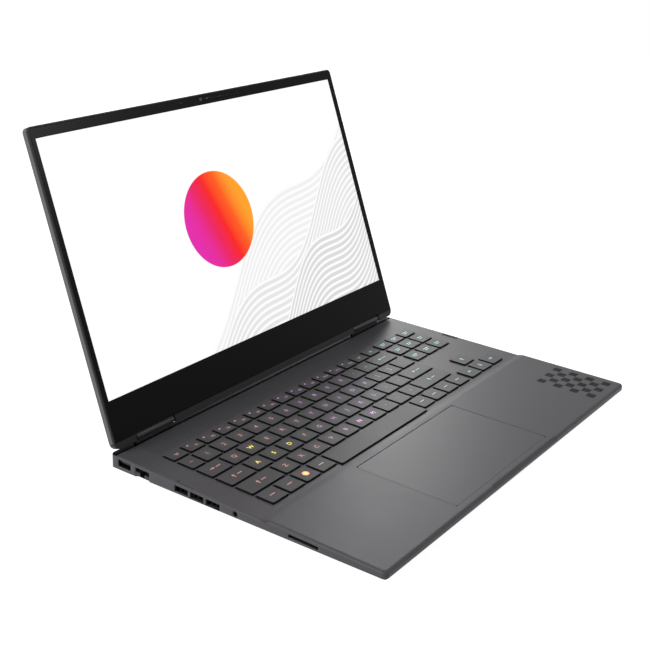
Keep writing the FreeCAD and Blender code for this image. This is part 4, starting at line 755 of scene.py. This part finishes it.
def wide_key_legends(meshes):
    """An arrow and a bar on each wide key."""
    wide = {
        "backspace_key": (GRAVE + 12 * PITCH, KEY_BLOCK, 4, 180),
        "tab_key": (0, TAB, 3, 0),
        "caps_lock_key": (0, CAPS, 2, 90),
        "enter_key": (CAPS + 11 * PITCH, KEY_BLOCK, 2, 180),
        "left_shift_key": (0, SHIFT, 1, 90),
        "right_shift_key": (SHIFT + 10 * PITCH, KEY_BLOCK, 1, 90),
    }
    for body, (low, high, row, turn) in wide.items():
        x = KEY_LEFT + (low + high) / 2
        arrow(meshes[body], x + WIDE_ARROW_X, row_y(row), turn, WIDE_ARROW)
        bar(meshes[body], x + WIDE_BAR_X, row_y(row), WIDE_BAR, BAR)


def bottom_legends(meshes):
    """Bars on the front row, with a plain hexagon on one key."""
    bm, y = meshes["bottom_keys"], row_y(0)
    places = [KEY_LEFT + CONTROL / 2]
    places += [key_x(CONTROL, place) for place in range(3)]
    places += [key_x(KEY_BLOCK, place) for place in range(-4, 0)]
    for place, x in enumerate(places):
        if place == HEXAGON_PLACE:
            plate(bm, polygon(x, y, HEXAGON, 6), OTHER_GLOW)
            plate(bm, polygon(x, y, HEXAGON_DOT, ROUND), YELLOW_GLOW, raised=0.02)
        else:
            bar(bm, x, y, BOTTOM_BAR, BAR)


def side_legends(meshes):
    """Two bars on each key of the block at the right, and the four arrows."""
    for row in (3, 4, FUNCTION_ROW):
        for place in range(3):
            for off_x, off_y, width in NAVIGATION_BARS:
                x, y = key_x(NAVIGATION, place) + off_x, row_y(row) + off_y
                bar(meshes["navigation_keys"], x, y, width, THICK_BAR)
    for place, row, turn in ((0, 0, 180), (1, 0, 270), (2, 0, 0), (1, 1, 90)):
        arrow(meshes["arrow_keys"], key_x(NAVIGATION, place), row_y(row), turn, CURSOR_ARROW)


def legends():
    """One piece of legends for each key body that has any."""
    meshes = collections.defaultdict(bmesh.new)
    letter_legends(meshes)
    function_legends(meshes)
    wide_key_legends(meshes)
    bottom_legends(meshes)
    side_legends(meshes)
    for body, bm in meshes.items():
        other = ORANGE if body == "bottom_keys" else DIM
        piece(f"{body}_legends", bm, body, "keys", LEGEND, YELLOW, PINK, other)


# Details on the case, the sockets and the lid

PRINT_COLUMNS, PRINT_ROWS, PRINT_STEP, PRINT_SQUARE, PRINT_ROUND = 5, 7, 7.6, 7.2, 0.6
PRINT_RIGHT, PRINT_FRONT, PRINT_THICK = 173, -154, 0.02
USB_SIDE, USB_LONG, USB_WIDE, USB_LOW, USB_HIGH = 178.0, 7.0, 1.1, 11.38, 11.52
USB_LEFT, USB_RIGHT, USB_LANES = (65.9,), (65.9, 45.9), (-3.5, -1.0, 1.0, 3.5)
NETWORK_X, NETWORK_Y, NETWORK_LANES, NETWORK_STEP = -176.5, 47.5, 8, 1.02
NETWORK_LONG, NETWORK_WIDE, NETWORK_LOW, NETWORK_HIGH = 8.0, 0.4, 13.2, 13.58
SCREWS = ((169, 68), (158, -45), (105, -136), (60, -62))
CROSS_LONG, CROSS_WIDE, CROSS_LOW, CROSS_HIGH, CROSS_STEP = 2.2, 0.5, 1.58, 1.62, 0.005
WEBCAM_RAISE, MICROPHONE_X, MICROPHONE, CAMERA_LIGHT_X, CAMERA_LIGHT = 0.75, 24, 0.45, 7.5, 0.5
DETAIL_SUNK, DETAIL_RAISED = 0.05, 0.02


def print_marks():
    """A generic print on the right of the palm rest: a chequered patch."""
    bm = bmesh.new()
    for column in range(PRINT_COLUMNS):
        for row in range(PRINT_ROWS):
            if (column + row) % 2 == 0:
                x, y = PRINT_RIGHT - PRINT_STEP * column, PRINT_FRONT + PRINT_STEP * row
                square = rounded_square(x, y, PRINT_SQUARE, PRINT_ROUND)
                prism(bm, square, PALM_TOP - PRINT_THICK, PALM_TOP + PRINT_THICK)
    piece("deck_print", bm, "base", "case", PRINT)


def socket_contacts():
    """Gold contacts inside the sockets."""
    bm = bmesh.new()
    for side, places in ((-1, USB_LEFT), (1, USB_RIGHT)):
        for y in places:
            for lane in USB_LANES:
                prism(bm, rectangle(side * USB_SIDE, y + lane, USB_LONG, USB_WIDE), USB_LOW, USB_HIGH)
    for lane in range(NETWORK_LANES):
        y = NETWORK_Y + (lane - (NETWORK_LANES - 1) / 2) * NETWORK_STEP
        prism(bm, rectangle(NETWORK_X, y, NETWORK_LONG, NETWORK_WIDE), NETWORK_LOW, NETWORK_HIGH)
    piece("socket_contacts", bm, "base", "socket_steel", GOLD)


def screw_recess_shade():
    """Painted shade of cross recesses in the heads of the bottom screws: two thin dark bars on each, one a
    little lower.
    """
    bm = bmesh.new()
    for side in (-1, 1):
        for x, y in SCREWS:
            prism(bm, rectangle(side * x, y, CROSS_LONG, CROSS_WIDE), CROSS_LOW + CROSS_STEP, CROSS_HIGH)
            prism(bm, rectangle(side * x, y, CROSS_WIDE, CROSS_LONG), CROSS_LOW, CROSS_HIGH)
    piece("screw_recess_shade", bm, "base", "steel", PLASTIC)


def camera_details():
    """The two microphone holes beside the webcam, and its light."""
    up = (SCREEN_LOW + SCREEN_HEIGHT + LID_TOP - LID_RIM) / 2 + WEBCAM_RAISE
    face = LID_THICK / 2 - BEZEL_SUNK
    low, high = face - DETAIL_SUNK, face + DETAIL_RAISED
    bm = bmesh.new()
    for x in (-MICROPHONE_X, MICROPHONE_X):
        prism(bm, polygon(x, up, MICROPHONE, ROUND), low, high, LID_FRAME)
    prism(bm, polygon(CAMERA_LIGHT_X, up, CAMERA_LIGHT, ROUND), low, high, LID_FRAME, index=1)
    piece("camera_details", bm, "lid", "bezel", PLASTIC, DIM)


legends()
print_marks()
socket_contacts()
screw_recess_shade()
camera_details()


# Stage, light and camera

FLOOR_REACH, FLOOR_TONE, FLOOR_GLOW, FLOOR_GLOW_SHARE = 6.0, 0.86, 1.53, 0.6
SOFT_LIGHT, SOFT_STRENGTH, WHITE = (0.96, 0.94, 1.0, 1), 0.25, (1, 1, 1, 1)
FOCAL_PIXELS, IMAGE_PIXELS, SENSOR = 1163.6205, 650, 36.0
CAMERA_PLACE = (-0.7172805, -0.5010187, 0.4337927)
CAMERA_AZIMUTH, CAMERA_HEIGHT, CAMERA_ROLL = -53.3017, 17.1007, 1.6239
CAMERA_SHIFT_X, CAMERA_SHIFT_Y = 0.0142, -0.1492


def background_share(tree):
    """A share that is 1 for rays that show the background: camera, glossy and transmission rays."""
    path = tree.nodes.new("ShaderNodeLightPath")
    total = path.outputs["Is Camera Ray"]
    for name in ("Is Glossy Ray", "Is Transmission Ray"):
        both = tree.nodes.new("ShaderNodeMath")
        both.operation = "MAXIMUM"
        tree.links.new(total, both.inputs[0])
        tree.links.new(path.outputs[name], both.inputs[1])
        total = both.outputs[0]
    return total


def blend_shaders(tree, share, first, second, output):
    """Shows the first shader, and the second by its share."""
    blend = tree.nodes.new("ShaderNodeMixShader")
    tree.links.new(share, blend.inputs[0])
    tree.links.new(first.outputs[0], blend.inputs[1])
    tree.links.new(second.outputs[0], blend.inputs[2])
    tree.links.new(blend.outputs[0], tree.nodes[output].inputs["Surface"])


def floor():
    """A pale matt floor that keeps a faint shadow, and glows for rays that show the background."""
    mesh = bpy.data.meshes.new("floor")
    corners = rectangle(0, 0, 2 * FLOOR_REACH, 2 * FLOOR_REACH)
    mesh.from_pydata([(x, y, 0) for x, y in corners], [], [(0, 1, 2, 3)])
    ground = bpy.data.objects.new("floor", mesh)
    bpy.context.scene.collection.objects.link(ground)
    material = bpy.data.materials.new("studio_floor")
    material.use_nodes = True
    tree = material.node_tree
    base = tree.nodes["Principled BSDF"]
    base.inputs["Base Color"].default_value = (FLOOR_TONE, FLOOR_TONE, FLOOR_TONE, 1)
    base.inputs["Roughness"].default_value = 0.9
    base.inputs["Specular IOR Level"].default_value = 0.0
    glow = tree.nodes.new("ShaderNodeEmission")
    glow.inputs["Strength"].default_value = FLOOR_GLOW
    share = tree.nodes.new("ShaderNodeMath")
    share.operation = "MULTIPLY"
    share.inputs[1].default_value = FLOOR_GLOW_SHARE
    tree.links.new(background_share(tree), share.inputs[0])
    blend_shaders(tree, share.outputs[0], base, glow, "Material Output")
    mesh.materials.append(material)


def world():
    """Soft light from all round, and plain white where a ray shows the background."""
    made = bpy.data.worlds.new("studio")
    bpy.context.scene.world = made
    made.use_nodes = True
    tree = made.node_tree
    soft = tree.nodes["Background"]
    soft.inputs["Color"].default_value = SOFT_LIGHT
    soft.inputs["Strength"].default_value = SOFT_STRENGTH
    white = tree.nodes.new("ShaderNodeBackground")
    white.inputs["Color"].default_value = WHITE
    white.inputs["Strength"].default_value = 1.0
    blend_shaders(tree, background_share(tree), soft, white, "World Output")


def lamp(name, place, aim, size, power):
    data = bpy.data.lights.new(name, "AREA")
    data.shape = "DISK"
    data.size = size
    data.energy = power
    made = bpy.data.objects.new(name, data)
    bpy.context.scene.collection.objects.link(made)
    made.location = place
    made.rotation_euler = (Vector(aim) - Vector(place)).to_track_quat("-Z", "Y").to_euler()


def camera():
    """A camera fitted to the photograph, whose frame is square."""
    data = bpy.data.cameras.new("camera")
    data.sensor_width = SENSOR
    data.lens = FOCAL_PIXELS * SENSOR / IMAGE_PIXELS
    data.shift_x, data.shift_y = CAMERA_SHIFT_X, CAMERA_SHIFT_Y
    made = bpy.data.objects.new("camera", data)
    bpy.context.scene.collection.objects.link(made)
    azimuth, height, roll = (math.radians(angle) for angle in (CAMERA_AZIMUTH, CAMERA_HEIGHT, CAMERA_ROLL))
    level = math.cos(height)
    back = Vector((math.sin(azimuth) * level, -math.cos(azimuth) * level, math.sin(height)))
    right = (-back).cross(Vector((0, 0, 1))).normalized()
    up = right.cross(-back)
    turned = right * math.cos(roll) + up * math.sin(roll)
    upright = up * math.cos(roll) - right * math.sin(roll)
    made.matrix_world = Matrix((turned, upright, back)).transposed().to_4x4()
    made.location = CAMERA_PLACE
    bpy.context.scene.camera = made


floor()
world()
lamp("key_light", place=(1.2, 0.9, 0.82), aim=(0.0, -0.05, 0.02), size=0.6, power=10.0)
lamp("fill_light", place=(-1.35, 0.35, 0.75), aim=(0.0, 0.0, 0.05), size=0.9, power=22.0)
lamp("front_light", place=(0.82, -1.12, 0.94), aim=(0.0, 0.1, 0.2), size=0.3, power=6.0)
camera()
bpy.context.scene.view_settings.view_transform = "Standard"
